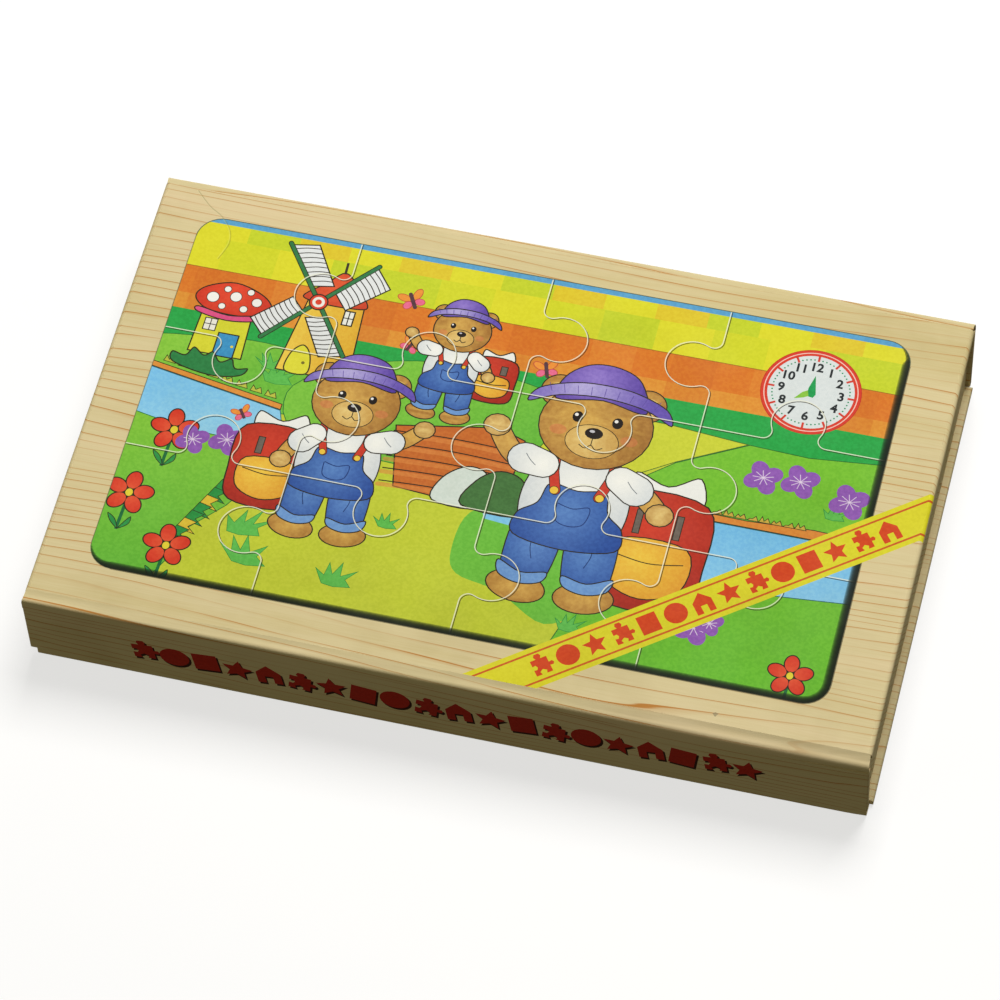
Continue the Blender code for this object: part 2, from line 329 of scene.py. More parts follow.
def lay_paper(piece):
    """The piece's place on the laid-out paper: along the box, and over its edges from the lid."""
    mesh = piece.data
    sheet = mesh.uv_layers.new(name="paper")
    for loop in mesh.loops:
        p = mesh.vertices[loop.vertex_index].co
        sheet.data[loop.index].uv = (
            p.x + math.copysign(BOX_TOP - p.z, p.x) * (abs(p.x) > BOX_END),
            p.y + (p.z - BOX_TOP) * (1 if p.y < 0 else -1),
        )


def covered(piece, body, slot, material, *nodes):
    """Every rigid piece gets its material and its body; the CAD nodes that it stands for are hidden."""
    piece.data.materials.append(material)
    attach(piece, body)
    if nodes:
        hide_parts(*nodes)
    deselect()


# --- Base board --------------------------------------------------------------
# A grey board, 2 mm thick, wrapped in the covering paper. The tray is glued on
# it, so that only a narrow ledge of it shows round the tray.

base_board = block("base_board_wrapped", *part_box("base_board"))
round_edges(base_board, 0.0006, 4, lambda p, d: abs(d.z) < 0.5)
smooth(base_board)
lay_paper(base_board)
covered(base_board, "base", "printed_paper", covering, "base_board")


# --- Tray --------------------------------------------------------------------
# Four walls and a floor of thin card, glued on the base. The same paper covers
# the outside and turns over the top edge; inside, the card is plain and pale.

card_finish, tree, shader = finish("plain_card", 0.75)
place = node(tree, "TexCoord").outputs["Object"]
pulp = noisy(tree, place, 420.0, 5.0, roughness=0.7)
tree.links.new(ramp(tree, pulp, (
    (0.30, tint(232, 226, 209)), (0.55, tint(236, 231, 216)), (0.75, tint(240, 235, 222)),
)), shader.inputs["Base Color"])
bump(tree, shader, pulp, 0.3, 0.0002)

for side, out in (
    ("left", Vector((-1, 0, 0))), ("right", Vector((1, 0, 0))),
    ("front", Vector((0, -1, 0))), ("rear", Vector((0, 1, 0))),
):
    cad_wall = "tray_%s_wall" % side
    wall = block("tray_%s_side" % side, *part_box(cad_wall))
    round_edges(wall, 0.00035, 3, lambda p, d: abs(d.z) < 0.5 and p.z > 0.01)
    smooth(wall)
    lay_paper(wall)
    covered(wall, "base", "tray_card", covering, cad_wall)
    wall.data.materials.append(card_finish)
    for face in wall.data.polygons:
        if face.normal.dot(out) < -0.9:
            face.material_index = 1

tray_floor = block("tray_floor_card", *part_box("tray_floor"))
pick(tray_floor, faces=lambda p, n: n.z > 0.9)
bpy.ops.mesh.inset(thickness=0.004, depth=0)
bpy.ops.object.mode_set(mode="OBJECT")
covered(tray_floor, "base", "tray_card", card_finish, "tray_floor")


# --- Printed picture ---------------------------------------------------------
# The picture of the jigsaw, which the lid shows as well: three teddy bears on
# a walk past a windmill and a toadstool cottage, with a clock in the sky. It
# is drawn in millimetres from the middle of the lid, in layers of flat ink.

INK = (46, 40, 26)


def mixed(first, second, share):
    share = min(1.0, max(0.0, share))
    return tuple(a + (b - a) * share for a, b in zip(first, second))


def glow(middle, rim, centre, radius, mottle=0.0):
    """A colour that turns from one to another outwards, mottled like fur if asked."""
    def colour(x, y):
        share = math.hypot(x - centre[0], y - centre[1]) / radius
        if mottle:
            share += mottle * noise.noise(Vector((x * 0.9, y * 0.9, 3.0)))
        return mixed(middle, rim, share)
    return colour


def fade(first, second, start, end):
    """A colour that turns from one to another between two points."""
    start = Vector(start)
    along = Vector(end) - start
    def colour(x, y):
        return mixed(first, second, (Vector((x, y)) - start).dot(along) / along.length_squared)
    return colour


def curve(points, closed=True, steps=5):
    """A smooth line through the points."""
    points = [Vector(p) for p in points]
    count = len(points)
    line = []
    for i in range(count if closed else count - 1):
        a, b, c, d = (
            points[(i + k) % count] if closed else points[min(max(i + k, 0), count - 1)]
            for k in (-1, 0, 1, 2)
        )
        for step in range(steps):
            t = step / steps
            line.append(0.5 * (
                2 * b + (c - a) * t + (2 * a - 5 * b + 4 * c - d) * t * t
                + (3 * b - a - 3 * c + d) * t**3
            ))
    return line if closed else line + [points[-1]]


def oval(x, y, rx, ry=None, turn=0.0, count=24):
    ry = rx if ry is None else ry
    c, s = math.cos(turn), math.sin(turn)
    return [
        Vector((x + rx * math.cos(a) * c - ry * math.sin(a) * s,
                y + rx * math.cos(a) * s + ry * math.sin(a) * c))
        for a in (i * math.tau / count for i in range(count))
    ]


def gap(point, line):
    """The distance from a point to a closed line."""
    nearest = 1e9
    for a, b in zip(line, line[1:] + line[:1]):
        run = b - a
        share = max(0.0, min(1.0, (point - a).dot(run) / max(run.length_squared, 1e-12)))
        nearest = min(nearest, (a + run * share - point).length_squared)
    return math.sqrt(nearest)


def moved_in(outline, distance):
    """An anticlockwise outline moved inwards, without the loops that its tight ends would make."""
    moved = []
    for i, point in enumerate(outline):
        before, after = point - outline[i - 1], outline[(i + 1) % len(outline)] - point
        if before.length < 1e-9 or after.length < 1e-9:
            continue
        before.normalize()
        after.normalize()
        side = Vector((-before.y - after.y, before.x + after.x))
        if side.length < 1e-6:
            side = Vector((-after.y, after.x))
        side.normalize()
        at = point + side * distance / max(0.12, side.dot(Vector((-after.y, after.x))))
        if gap(at, outline) > 0.9 * distance:
            moved.append(at)
    return moved


def anticlockwise(outline):
    outline = [Vector(p) for p in outline]
    area = sum(a.x * b.y - a.y * b.x for a, b in zip(outline, outline[1:] + outline[:1]))
    return outline if area > 0 else outline[::-1]


def ribbon(line, width, end_width=None):
    """A stroke along a line, thinner or wider towards its end; a broad one has round ends."""
    line = [Vector(p) for p in line]
    end_width = width if end_width is None else end_width
    left, right = [], []
    for i, point in enumerate(line):
        along = line[min(i + 1, len(line) - 1)] - line[max(i - 1, 0)]
        along.normalize()
        half = (width + (end_width - width) * i / (len(line) - 1)) / 2
        side = Vector((-along.y, along.x)) * half
        left.append(point + side)
        right.append(point - side)
    turns = [math.pi * k / 8 for k in range(1, 8)] if width > 1.0 else []
    caps = []
    for point, half, heading in (
        (line[-1], end_width / 2, line[-1] - line[-2]), (line[0], width / 2, line[0] - line[1]),
    ):
        start = math.atan2(heading.y, heading.x) - math.pi / 2
        caps.append([
            point + Vector((math.cos(start + a), math.sin(start + a))) * half for a in turns
        ])
    return right + caps[0] + left[::-1] + caps[1]


class Artwork(list):
    """Layers of ink, from the bottom up: an outline, a colour and how much it covers."""

    def lay(self, outline, colour, cover=1.0):
        self.append(([Vector(p) for p in outline], colour, cover))

    def line(self, points, width=0.35, colour=INK, cover=1.0):
        self.lay(ribbon(curve(points, False), width), colour, cover)

    def straight(self, points, width, colour=INK, cover=1.0):
        self.lay(ribbon(points, width), colour, cover)

    def inked(self, outline, colour, width=0.38, ink=INK):
        """A patch of colour with an inked outline."""
        outline = anticlockwise(outline)
        self.lay(outline, ink)
        inner = moved_in(outline, width)
        if len(inner) > 2:
            self.lay(inner, colour)

    def soft(self, points, colour, width=0.38, ink=INK):
        """A patch of colour with an inked outline that runs smoothly through the points."""
        self.inked(curve(points), colour, width, ink)


WINDOW = (-99.5, -55.5, 98.0, 59.3)
WINDOW_ROUND = 7.0
window = []
for cx, cy, start in ((98, 59.3, 0), (-99.5, 59.3, 90), (-99.5, -55.5, 180), (98, -55.5, 270)):
    for k in range(9):
        a = math.radians(start + k * 11.25)
        window.append(Vector((
            cx - math.copysign(WINDOW_ROUND, cx) + WINDOW_ROUND * math.cos(a),
            cy - math.copysign(WINDOW_ROUND, cy) + WINDOW_ROUND * math.sin(a),
        )))

art = Artwork()


def strip(x0, y0, x1, y1, colour, cover=1.0):
    art.lay([(x0, y0), (x1, y0), (x1, y1), (x0, y1)], colour, cover)


# Sky: a patchwork of yellow and lime squares, an orange band and a green one.
strip(-101, 57.6, 100, 61, (92, 165, 215))
strip(-101, 42.6, 100, 57.6, (222, 222, 45))
shades = {"y": (226, 222, 46), "a": (228, 198, 48), "l": (196, 214, 46), "o": (212, 218, 42)}
for i, (upper, lower) in enumerate("yy lo ay yl al yo ly ao yl ay lo yy al yl".split()):
    strip(-99.5 + 14.2 * i, 52.6, -85.3 + 14.2 * i, 57.6, shades[upper], 0.8)
    strip(-106 + 15.1 * i, 42.6, -90.9 + 15.1 * i, 52.6, shades[lower], 0.8)
strip(-101, 28.4, 100, 42.6, (222, 124, 40))
strip(-101, 28.4, 100, 33.6, (226, 150, 54))
for i in range(9):
    shade = (232, 152, 60) if i % 2 else (206, 108, 34)
    strip(-96 + 22 * i, 28.4, -84 + 22 * i, 42.6, shade, 0.35)
art.straight([(-100, 42.6), (100, 42.6)], 0.25, (150, 96, 30), 0.8)
strip(-101, 10, 100, 28.4, (40, 168, 74))

# Hills, the wedge of a field, the stream with its banks, meadows and the path.
GRASS_INK = (40, 120, 50)
strip(-101, -58, 100, 16, (196, 208, 58))
art.soft([(-104, 17), (-90, 20.8), (-72, 22.4), (-58, 20), (-46, 12), (-50, 2), (-104, 2)],
         fade((140, 205, 66), (112, 190, 60), (-90, 20), (-80, 6)), 0.25, GRASS_INK)
art.soft([(-62, 8), (-48, 20), (-26, 26.3), (-4, 25.6), (18, 20), (34, 10), (10, -6), (-50, -6)],
         fade((126, 198, 64), (104, 186, 58), (-20, 26), (0, 2)), 0.25, GRASS_INK)
art.inked([(14, 21), (40, 20.4), (62, 18.7), (44, 9), (24, -4), (8, 6)],
          (206, 214, 58), 0.25, (70, 110, 40))
art.inked([(62, 18.7), (78, 18.1), (102, 20.6), (102, -60), (22, -60), (30, -34), (26, -6), (44, 9)],
          fade((122, 196, 52), (108, 190, 50), (70, 18), (70, -50)), 0.25, (40, 110, 44))
art.inked([(48, -4.2), (66, -4.6), (84, -3.6), (102, -4.2), (102, -6.8), (48, -6.8)],
          (222, 140, 56), 0.25)
art.inked([(48, -6.8), (102, -6.8), (102, -23.6), (80, -25.6), (52, -28)],
          fade((116, 190, 238), (140, 204, 244), (70, -7), (70, -26)), 0.25, (40, 96, 90))
art.inked([(-104, 11.2), (-62, 4.2), (-62, 2.2), (-104, 9.3)], (226, 148, 62), 0.25)
art.inked([(-104, 9.3), (-62, 2.2), (-56, -14), (-104, -14)],
          fade((128, 200, 246), (150, 212, 246), (-90, 6), (-86, -10)), 0.25, (50, 110, 120))
art.inked([(-104, -5.4), (-92, -7.6), (-80, -9), (-60, -9.4), (-62, -20), (-68, -30), (-77, -40),
           (-79, -50), (-84, -60), (-104, -60)],
          fade((132, 200, 62), (104, 186, 58), (-90, -8), (-88, -54)), 0.25, GRASS_INK)
art.lay(curve([(-7, -30), (-5, -18), (6, -14), (20, -20), (30, -38), (22, -47), (8, -40), (-4, -37)]),
        (112, 192, 66))
art.lay([(-2, -16.6), (10, -16.6), (10, -20), (-1, -19)], (130, 200, 240))

# Steps of logs, a white fence end and a clipped bush in the middle.
art.inked([(-31, 4.5), (-4, 9.6), (4, 7), (3, -16.8), (-27, -14.6)], (200, 108, 44))
for k in range(5):
    art.line([(-31, 2.6 - 4 * k), (-14, 3.4 - 4 * k), (4, 3 - 4.2 * k)])
    art.line([(-31, 1.4 - 4 * k), (-14, 2.2 - 4 * k), (4, 1.8 - 4.2 * k)], 1.3, (222, 140, 70), 0.6)
art.soft([(-16, -16.4), (-15, -9), (-9, -4), (-3, -6), (-3, -16.4)], (214, 226, 220))
art.soft([(-8, -16.4), (-6, -8), (0, -3.6), (7, -6), (10, -16.4)], (70, 118, 62))


def near(x, y, points, size=1.0):
    """Points given from a place in the drawing, in steps of a size."""
    return [(x + px * size, y + py * size) for px, py in points]


def tuft(x, y, size, lean):
    """A tuft of pointed grass."""
    blades = [
        (-1.2, 0.5), (-0.55, 0.1), (-0.5, 1.0), (-0.1, 0.25), (0.25, 1.15), (0.4, 0.2),
        (1.3, 0.75), (0.75, 0.0), (1.2, -0.45), (0.2, -0.6), (-0.5, -0.5),
    ]
    art.inked(near(x, y, [(px + lean * py, py) for px, py in blades], size),
              (96, 190, 82), 0.16, (40, 140, 66))


for x, y, size, lean in (
    (-62, -35, 5.2, 0.5), (-60, -43.6, 5.4, -0.2), (-35, -45.4, 4.6, 0.1), (-66, 12.5, 4.4, 0.2),
    (-69, 16, 3.2, -0.4), (28, -46, 3.4, 0.2), (-26, -26, 3.0, 0.0), (88, 2.0, 3.0, 0.3),
):
    tuft(x, y, size, lean)
for k in range(9):
    leaf = [(0, 2.4), (3.8, 1.5), (1.8, -0.3), (4.2, -2.4), (-1.6, -1.2)]
    art.inked(near(-70 - 1.3 * k, -22 - 2.7 * k, leaf), (44, 150, 70) if k % 3 else (226, 196, 60), 0.2)
for k in range(10):
    reeds = [(0, -4.4), (0.8, -2.2 - (k % 3) * 0.7), (1.5, -3.6), (2.4, -2.6), (3.4, -4.4)]
    art.inked(near(50 + 3.2 * k, 0, reeds), (204, 176, 70), 0.2)
for k in range(8):
    x = -97 + 4.2 * k
    reeds = [(0, 0), (0.6, 2.2), (1.6, 0.8), (2.8, 1.7), (3.6, -0.4)]
    art.inked(near(x, 10.8 - 0.17 * (x + 97), reeds), (190, 196, 70), 0.2)

# Toadstool cottage: a red cap with white spots on a yellow wall.
art.inked([(-91.3, 28.2), (-77.2, 28.2), (-76.6, 15.4), (-91.8, 15.4)], (218, 218, 54))
art.soft([(-94.4, 33.2), (-92, 37), (-84.4, 39.6), (-76, 37), (-72.8, 33), (-76.6, 29.6),
          (-84, 28.8), (-91, 29.8)], glow((236, 78, 48), (206, 54, 36), (-84, 36), 12))
for x, y, radius in ((-89.5, 33.7, 1.8), (-86.2, 37, 1.1), (-83.4, 35, 1.7), (-79.8, 37.2, 1.1),
                     (-77.4, 34.3, 1.5), (-86.4, 31.3, 1.1), (-80.4, 31.5, 1.2)):
    art.inked(oval(x, y, radius, count=16), (248, 248, 246), 0.2)
art.soft([(-92.6, 30.2), (-84, 28.9), (-76, 30.2), (-76, 28.2), (-84, 26.8), (-92.6, 28.2)],
         (226, 84, 140))
art.inked([(-89.7, 22.9), (-86, 22.9), (-86, 27), (-89.7, 27)], (240, 240, 232), 0.3)
art.straight([(-87.85, 22.9), (-87.85, 27)], 0.25)
art.straight([(-89.7, 25), (-86, 25)], 0.25)
art.inked([(-85, 15.2), (-79, 15.2), (-79, 23), (-85, 23)], (62, 150, 204))
art.lay(oval(-80.2, 19, 0.4, count=10), (240, 220, 60))
art.soft([(-94.5, 11), (-95.5, 14.5), (-91.8, 14), (-90, 17), (-86.8, 15), (-84.6, 16.6),
          (-82, 13.8), (-79, 15.4), (-77.4, 12.6), (-74, 13.2), (-75.8, 10.2), (-84, 8.8)],
         (46, 132, 72))

# Windmill: an amber tower, a red cap and four slatted sails on green spars.
art.inked([(-64.2, 39.2), (-48.4, 39.2), (-46.9, 14.6), (-67.2, 14.6)],
          fade((240, 204, 78), (226, 176, 52), (-66, 20), (-48, 20)))
art.soft([(-66, 39.4), (-61, 44.6), (-56.4, 49.2), (-51.6, 45), (-47.6, 39.2), (-52, 37.8),
          (-61, 37.8)], glow((232, 96, 52), (206, 70, 42), (-57, 44), 9))
art.straight([(-56.5, 48.6), (-56.6, 52.4)], 0.7, (60, 50, 40))
art.inked([(-53.6, 32.2), (-50.4, 32.2), (-50.4, 37.2), (-53.6, 37.2)], (236, 238, 232), 0.4)
art.straight([(-52, 32.2), (-52, 37.2)], 0.3)
art.straight([(-53.6, 34.7), (-50.4, 34.7)], 0.3)
art.soft([(-64.7, 14.8), (-64.4, 20.8), (-61.5, 24), (-58.7, 20.8), (-58.4, 14.8)], (226, 222, 60))
art.lay(oval(-60.2, 18.2, 0.5, count=10), (120, 110, 40))
hub = Vector((-61.2, 38.2))
for tip, corner in (
    ((-73.5, 55.5), (-65.8, 57.0)), ((-48, 53), (-42.8, 46.6)),
    ((-73.6, 24), (-78.4, 29.2)), ((-50, 22), (-56.6, 20.4)),
):
    tip, corner = Vector(tip), Vector(corner)
    heading, width = tip - hub, corner - tip
    inner, outer = hub + heading * 0.26, hub + heading * 0.98
    art.inked([inner, inner + width * 0.82, outer + width, outer], (232, 236, 240))
    for k in range(1, 9):
        a = inner + (outer - inner) * k / 9
        art.line([a, a + width * 0.5 + heading * 0.018, a + width * (0.82 + 0.02 * k)], 0.28)
    art.inked(ribbon([hub, tip], 1.5), (54, 126, 76), 0.25)
art.inked(oval(*hub, 2.7), (222, 66, 42))
art.lay(oval(*hub, 1.7), (240, 240, 236))
art.lay(oval(*hub, 0.9, count=14), (222, 66, 42))


def flower(x, y, size, turn):
    """A red flower with five long petals, a yellow eye, a stem and two leaves."""
    art.straight(near(x, y, [(0, -3), (-0.3, -11.8)], size), 0.9 * size, (30, 110, 62))
    for leaf in (
        [(0, -11.6), (-2.6, -9.6), (-3.8, -7.2), (-1.4, -8.6)],
        [(0, -11.6), (2.6, -9.6), (2.6, -7.2), (1.4, -8.6)],
    ):
        art.soft(near(x, y, leaf, size), (46, 150, 74), 0.22)
    petals = [
        oval(x + 3.9 * size * math.cos(a), y + 3.9 * size * math.sin(a), 3.0 * size, 2.35 * size, a)
        for a in (turn + math.pi / 2 + k * math.tau / 5 for k in range(5))
    ]
    for petal in petals:
        art.lay(petal, INK)
    for petal in petals:
        art.lay(moved_in(petal, 0.36 * size), glow((236, 96, 60), (214, 52, 34), (x, y), 7.5 * size))
    art.inked(oval(x, y, 1.25 * size, 1.45 * size, count=16), (232, 214, 60), 0.25)


for x, y, size, turn in ((-88, -10, 1.0, 0.1), (-94.2, -31.6, 1.0, -0.1), (-80.2, -45.4, 0.98, 0.1),
                         (87.2, -48.2, 0.92, 0.05)):
    flower(x, y, size, turn)


def blossom(x, y, size):
    """A purple blossom with four round petals and fine white threads."""
    for k in range(4):
        a = 0.5 + k * math.pi / 2
        petal = oval(x + 0.56 * size * math.cos(a), y + 0.56 * size * math.sin(a),
                     0.62 * size, 0.52 * size, a, 16)
        art.lay(petal, (146, 92, 186))
    for k in range(9):
        a = 0.35 + k * math.tau / 9
        art.straight([(x, y), (x + 0.62 * size * math.cos(a), y + 0.5 * size * math.sin(a))], 0.22,
                     (230, 216, 240), 0.9)


for x, y, size in ((-73.4, -10, 4.4), (-82.4, -11.8, 4.0), (67.6, 9.4, 4.6), (77.4, 10.2, 4.6),
                   (91.2, 6.8, 4.8), (60, -39.6, 4.6), (63.6, -37.4, 3.4)):
    blossom(x, y, size)


def butterfly(x, y, size, turn):
    """A small butterfly with two pairs of pink and orange wings."""
    for side in (-1, 1):
        for lift, reach, colour in ((0.75, 2.6, (240, 150, 60)), (-0.45, 1.9, (236, 110, 150))):
            a = turn + math.pi / 2 - side * (math.pi / 2 - lift)
            root = reach * 0.62 * size
            wing = oval(x + root * math.cos(a), y + root * math.sin(a), reach * 0.5 * size,
                        0.75 * size, a, 16)
            art.inked(wing, colour, 0.2, (190, 70, 60))
    c, s = math.cos(turn + math.pi / 2), math.sin(turn + math.pi / 2)
    art.straight([(x - 1.3 * size * c, y - 1.3 * size * s), (x + 1.5 * size * c, y + 1.5 * size * s)],
                 0.7 * size, (90, 60, 70))


butterfly(-36.4, 44, 1.6, 0.5)
butterfly(-33.6, 29.6, 1.3, -0.4)
butterfly(4, 30, 1.5, 0.3)
butterfly(-71.6, -1.2, 1.2, 0.6)

# Clock: a red double ring, a white face, black numerals and green hands.
clock = Vector((74.1, 38.6))
for radius, colour in ((13.5, (196, 52, 38)), (13.3, (220, 62, 44)), (12.62, (248, 206, 196)),
                       (12.34, (220, 62, 44)), (11.6, (222, 230, 234))):
    art.lay(oval(*clock, radius, count=64), colour)
for minute in range(60):
    a = math.pi / 2 - minute * math.tau / 60
    way = Vector((math.cos(a), math.sin(a)))
    if minute % 5:
        art.lay(oval(*(clock + way * 10.35), 0.26, count=6), (40, 150, 104))
    else:
        art.straight([clock + way * 9.9, clock + way * 11.9], 0.62, (214, 62, 46))

NUMERAL_SIZE = 3.7


def numeral(figures, x, y):
    """Printed figures: each face of the type becomes a patch of ink."""
    deselect()
    type_curve = bpy.data.curves.new("figures", "FONT")
    type_curve.body = figures
    type_curve.size = NUMERAL_SIZE
    type_curve.align_x = "CENTER"
    type_curve.align_y = "CENTER"
    type_curve.resolution_u = 3
    type_curve.offset = 0.034 * NUMERAL_SIZE
    made = bpy.data.objects.new("figures", type_curve)
    view.collection.objects.link(made)
    made.select_set(True)
    bpy.context.view_layer.objects.active = made
    bpy.ops.object.convert(target="MESH")
    mesh = bpy.context.object.data
    for face in mesh.polygons:
        art.lay(near(x, y, [mesh.vertices[v].co.xy for v in face.vertices]), (38, 44, 48))
    bpy.data.objects.remove(bpy.context.object)


for hour in range(1, 13):
    a = math.pi / 2 - hour * math.tau / 12
    numeral(str(hour), clock.x + 8.1 * math.cos(a), clock.y + 7.9 * math.sin(a))
long_hand = ((-0.9, -0.2), (-0.6, -1.5), (0.8, -1.7), (1.4, -0.6), (0.2, 5.4), (-0.9, 1.2))
short_hand = ((-0.9, 0.4), (-2.2, -0.4), (-4.1, -2.9), (-1.6, -2.1), (-0.4, -1.4))
for hand, colour in ((long_hand, (30, 160, 84)), (short_hand, (140, 200, 70))):
    art.lay([clock + Vector(p) for p in hand], colour)


# Teddy bears of plain toy shape, in sun hats, white shirts and blue dungarees.
FUR, FUR_DARK, FUR_PALE = (218, 174, 88), (168, 118, 54), (234, 204, 130)
SHIRT, SHIRT_SHADE = (252, 252, 248), (206, 214, 222)
DENIM, DENIM_SHADE = (96, 140, 206), (44, 80, 160)
PEN = 0.34


def bear(x, y, size, arms):
    """A teddy bear from the front; size is the radius of its head, in which the rest is given."""
    def at(*points):
        return [Vector(p) for p in near(x, y, points, size)]

    def spot(px, py, rx, ry=None, turn=0.0):
        return oval(x + px * size, y + py * size, rx * size, (ry or rx) * size, turn,
                    28 if rx > 0.3 else 14)

    def shade(middle, rim, px, py, reach, mottle=0.0):
        return glow(middle, rim, (x + px * size, y + py * size), reach * size, mottle)

    for side in (-1, 1):
        art.inked(spot(0.62 * side, -3.62, 0.56, 0.33, 0.12 * side),
                  shade(FUR, FUR_DARK, 0.6 * side, -3.5, 0.75, 0.5), PEN)
        leg = at((0.04 * side, -2.2), (0.1 * side, -3.2), (0.3 * side, -3.5), (0.9 * side, -3.46),
                 (1.02 * side, -3.1), (0.94 * side, -2.2), (0.4 * side, -1.9))
        art.soft(leg, shade(DENIM, DENIM_SHADE, 0.5 * side, -2.7, 0.9), PEN)
        hem = at((0.14 * side, -3.22), (0.6 * side, -3.3), (1.05 * side, -3.12),
                 (1.0 * side, -3.42), (0.6 * side, -3.56), (0.2 * side, -3.46))
        art.soft(hem, (112, 156, 216), PEN)
        art.line(at((0.5 * side, -2.3), (0.56 * side, -2.7), (0.48 * side, -3.0)), 0.25, (34, 60, 120))
    shirt = at((-0.62, -0.78), (-0.95, -1.3), (-0.98, -2.0), (-0.7, -2.5),
               (0.7, -2.5), (0.98, -2.0), (0.95, -1.3), (0.62, -0.78))
    art.soft(shirt, shade((250, 250, 246), SHIRT_SHADE, 0, -1.4, 1.3), PEN)
    bib = at((-0.52, -1.36), (0, -1.42), (0.52, -1.36), (0.66, -1.8), (0.98, -2.1),
             (0.94, -2.56), (0, -2.72), (-0.94, -2.56), (-0.98, -2.1), (-0.66, -1.8))
    art.soft(bib, shade((92, 136, 204), DENIM_SHADE, -0.1, -1.9, 1.1), PEN)
    for side in (-1, 1):
        strap = at((0.4 * side, -1.5), (0.52 * side, -1.1), (0.56 * side, -0.7))
        art.inked(ribbon(strap, 0.2 * size), (206, 62, 44), 0.22)
        art.inked(spot(0.42 * side, -1.5, 0.09), (240, 200, 70), 0.18)
    pocket = at((-0.3, -1.75), (0, -1.82), (0.3, -1.75), (0.26, -2.1), (0, -2.2), (-0.26, -2.1),
                (-0.3, -1.75))
    art.line(pocket, 0.28, (30, 56, 120))
    for shoulder, elbow, hand in arms:
        limb = curve([shoulder, elbow, hand], False, 6)
        art.inked(ribbon(at(*limb), 0.48 * size, 0.40 * size),
                  shade(FUR, FUR_DARK, (elbow[0] + hand[0]) / 2, (elbow[1] + hand[1]) / 2, 0.75, 0.5),
                  PEN)
        art.inked(spot(*hand, 0.27, 0.25), shade(FUR_PALE, FUR_DARK, *hand, 0.45, 0.4), PEN)
        cuff = Vector(shoulder).lerp(Vector(elbow), 0.62)
        art.inked(ribbon(at(shoulder, cuff), 0.60 * size, 0.68 * size),
                  shade(SHIRT, SHIRT_SHADE, *shoulder, 0.9), PEN)
        middle = Vector(shoulder).lerp(Vector(elbow), 0.45)
        art.line(at(middle + Vector((-0.1, 0.12)), middle, middle + Vector((0.12, -0.1))),
                 0.22, (110, 120, 130))
    for side in (-1, 1):
        art.inked(spot(0.82 * side, 0.62, 0.36), shade(FUR, FUR_DARK, 0.8 * side, 0.6, 0.5, 0.5), PEN)
        art.lay(spot(0.84 * side, 0.60, 0.2), FUR_PALE, 0.8)
    art.inked(spot(0, 0, 1.06, 0.94), shade(FUR, FUR_DARK, -0.2, 0.05, 1.25, 0.55), PEN)
    art.inked(spot(0, -0.34, 0.5, 0.37), shade(FUR_PALE, (206, 162, 84), -0.1, -0.3, 0.62, 0.3), 0.22)
    art.lay(spot(0, -0.16, 0.17, 0.12), (34, 26, 24))
    art.lay(spot(-0.04, -0.12, 0.05, 0.03), (200, 200, 210))
    art.straight(at((0, -0.26), (0, -0.42)), 0.26)
    art.line(at((-0.22, -0.44), (-0.1, -0.5), (0, -0.42), (0.1, -0.5), (0.22, -0.44)), 0.26)
    for side in (-1, 1):
        art.lay(spot(0.37 * side, 0.14, 0.1, 0.12), (30, 24, 22))
        art.lay(spot(0.37 * side - 0.03, 0.18, 0.035), (244, 244, 244))
        art.lay(spot(0.66 * side, -0.2, 0.16, 0.11), (226, 120, 84), 0.4)
    crown = at((-0.86, 0.44), (-0.8, 0.95), (-0.4, 1.3), (0.15, 1.34), (0.62, 1.1), (0.84, 0.44),
               (0, 0.56))
    art.soft(crown, shade((150, 126, 214), (84, 60, 160), -0.25, 1.05, 1.1), PEN)
    brim = at((-1.34, 0.28), (-0.8, 0.52), (0, 0.62), (0.8, 0.52), (1.34, 0.28), (1.2, 0.62),
              (0.6, 0.86), (0, 0.92), (-0.6, 0.86), (-1.2, 0.62))
    art.soft(brim, shade((186, 178, 230), (104, 84, 182), -0.4, 0.8, 1.3), PEN)
    for k in range(-4, 5):
        stitch = at((0.24 * k, 0.66 - 0.02 * abs(k)), (0.26 * k, 0.84 - 0.02 * abs(k)))
        art.line(stitch, 0.22, (90, 72, 160), 0.7)


def hamper(x, y, width, height):
    """A red picnic bag with an amber pocket and a white cloth peeping out."""
    def at(*points):
        return [(x + px * width, y + py * height) for px, py in points]

    art.soft(at((-0.3, 0.4), (-0.34, 0.66), (0, 0.58), (0.3, 0.7), (0.36, 0.4)), (240, 242, 240))
    bag = at((-0.46, 0.46), (0.44, 0.46), (0.54, -0.1), (0.42, -0.5), (-0.4, -0.5), (-0.54, -0.1))
    lit = at((-0.1, 0.2))[0]
    art.soft(bag, glow((212, 64, 42), (160, 38, 26), lit, 0.85 * height), 0.4)
    pocket = at((-0.34, 0.06), (0.34, 0.06), (0.38, -0.3), (0, -0.44), (-0.38, -0.3))
    lit = at((-0.1, -0.1))[0]
    art.soft(pocket, glow((244, 204, 74), (222, 150, 44), lit, 0.5 * height), 0.35)
    art.line(at((-0.34, -0.08), (0, -0.12), (0.34, -0.08)), 0.3)
    for side in (-1, 1):
        (left, low_y), (right, high_y) = at((side * 0.2, 0.12), (side * 0.2, 0.34))
        art.inked([(left - 1, low_y), (right + 1, low_y), (right + 1, high_y), (left - 1, high_y)],
                  (110, 100, 92), 0.25)


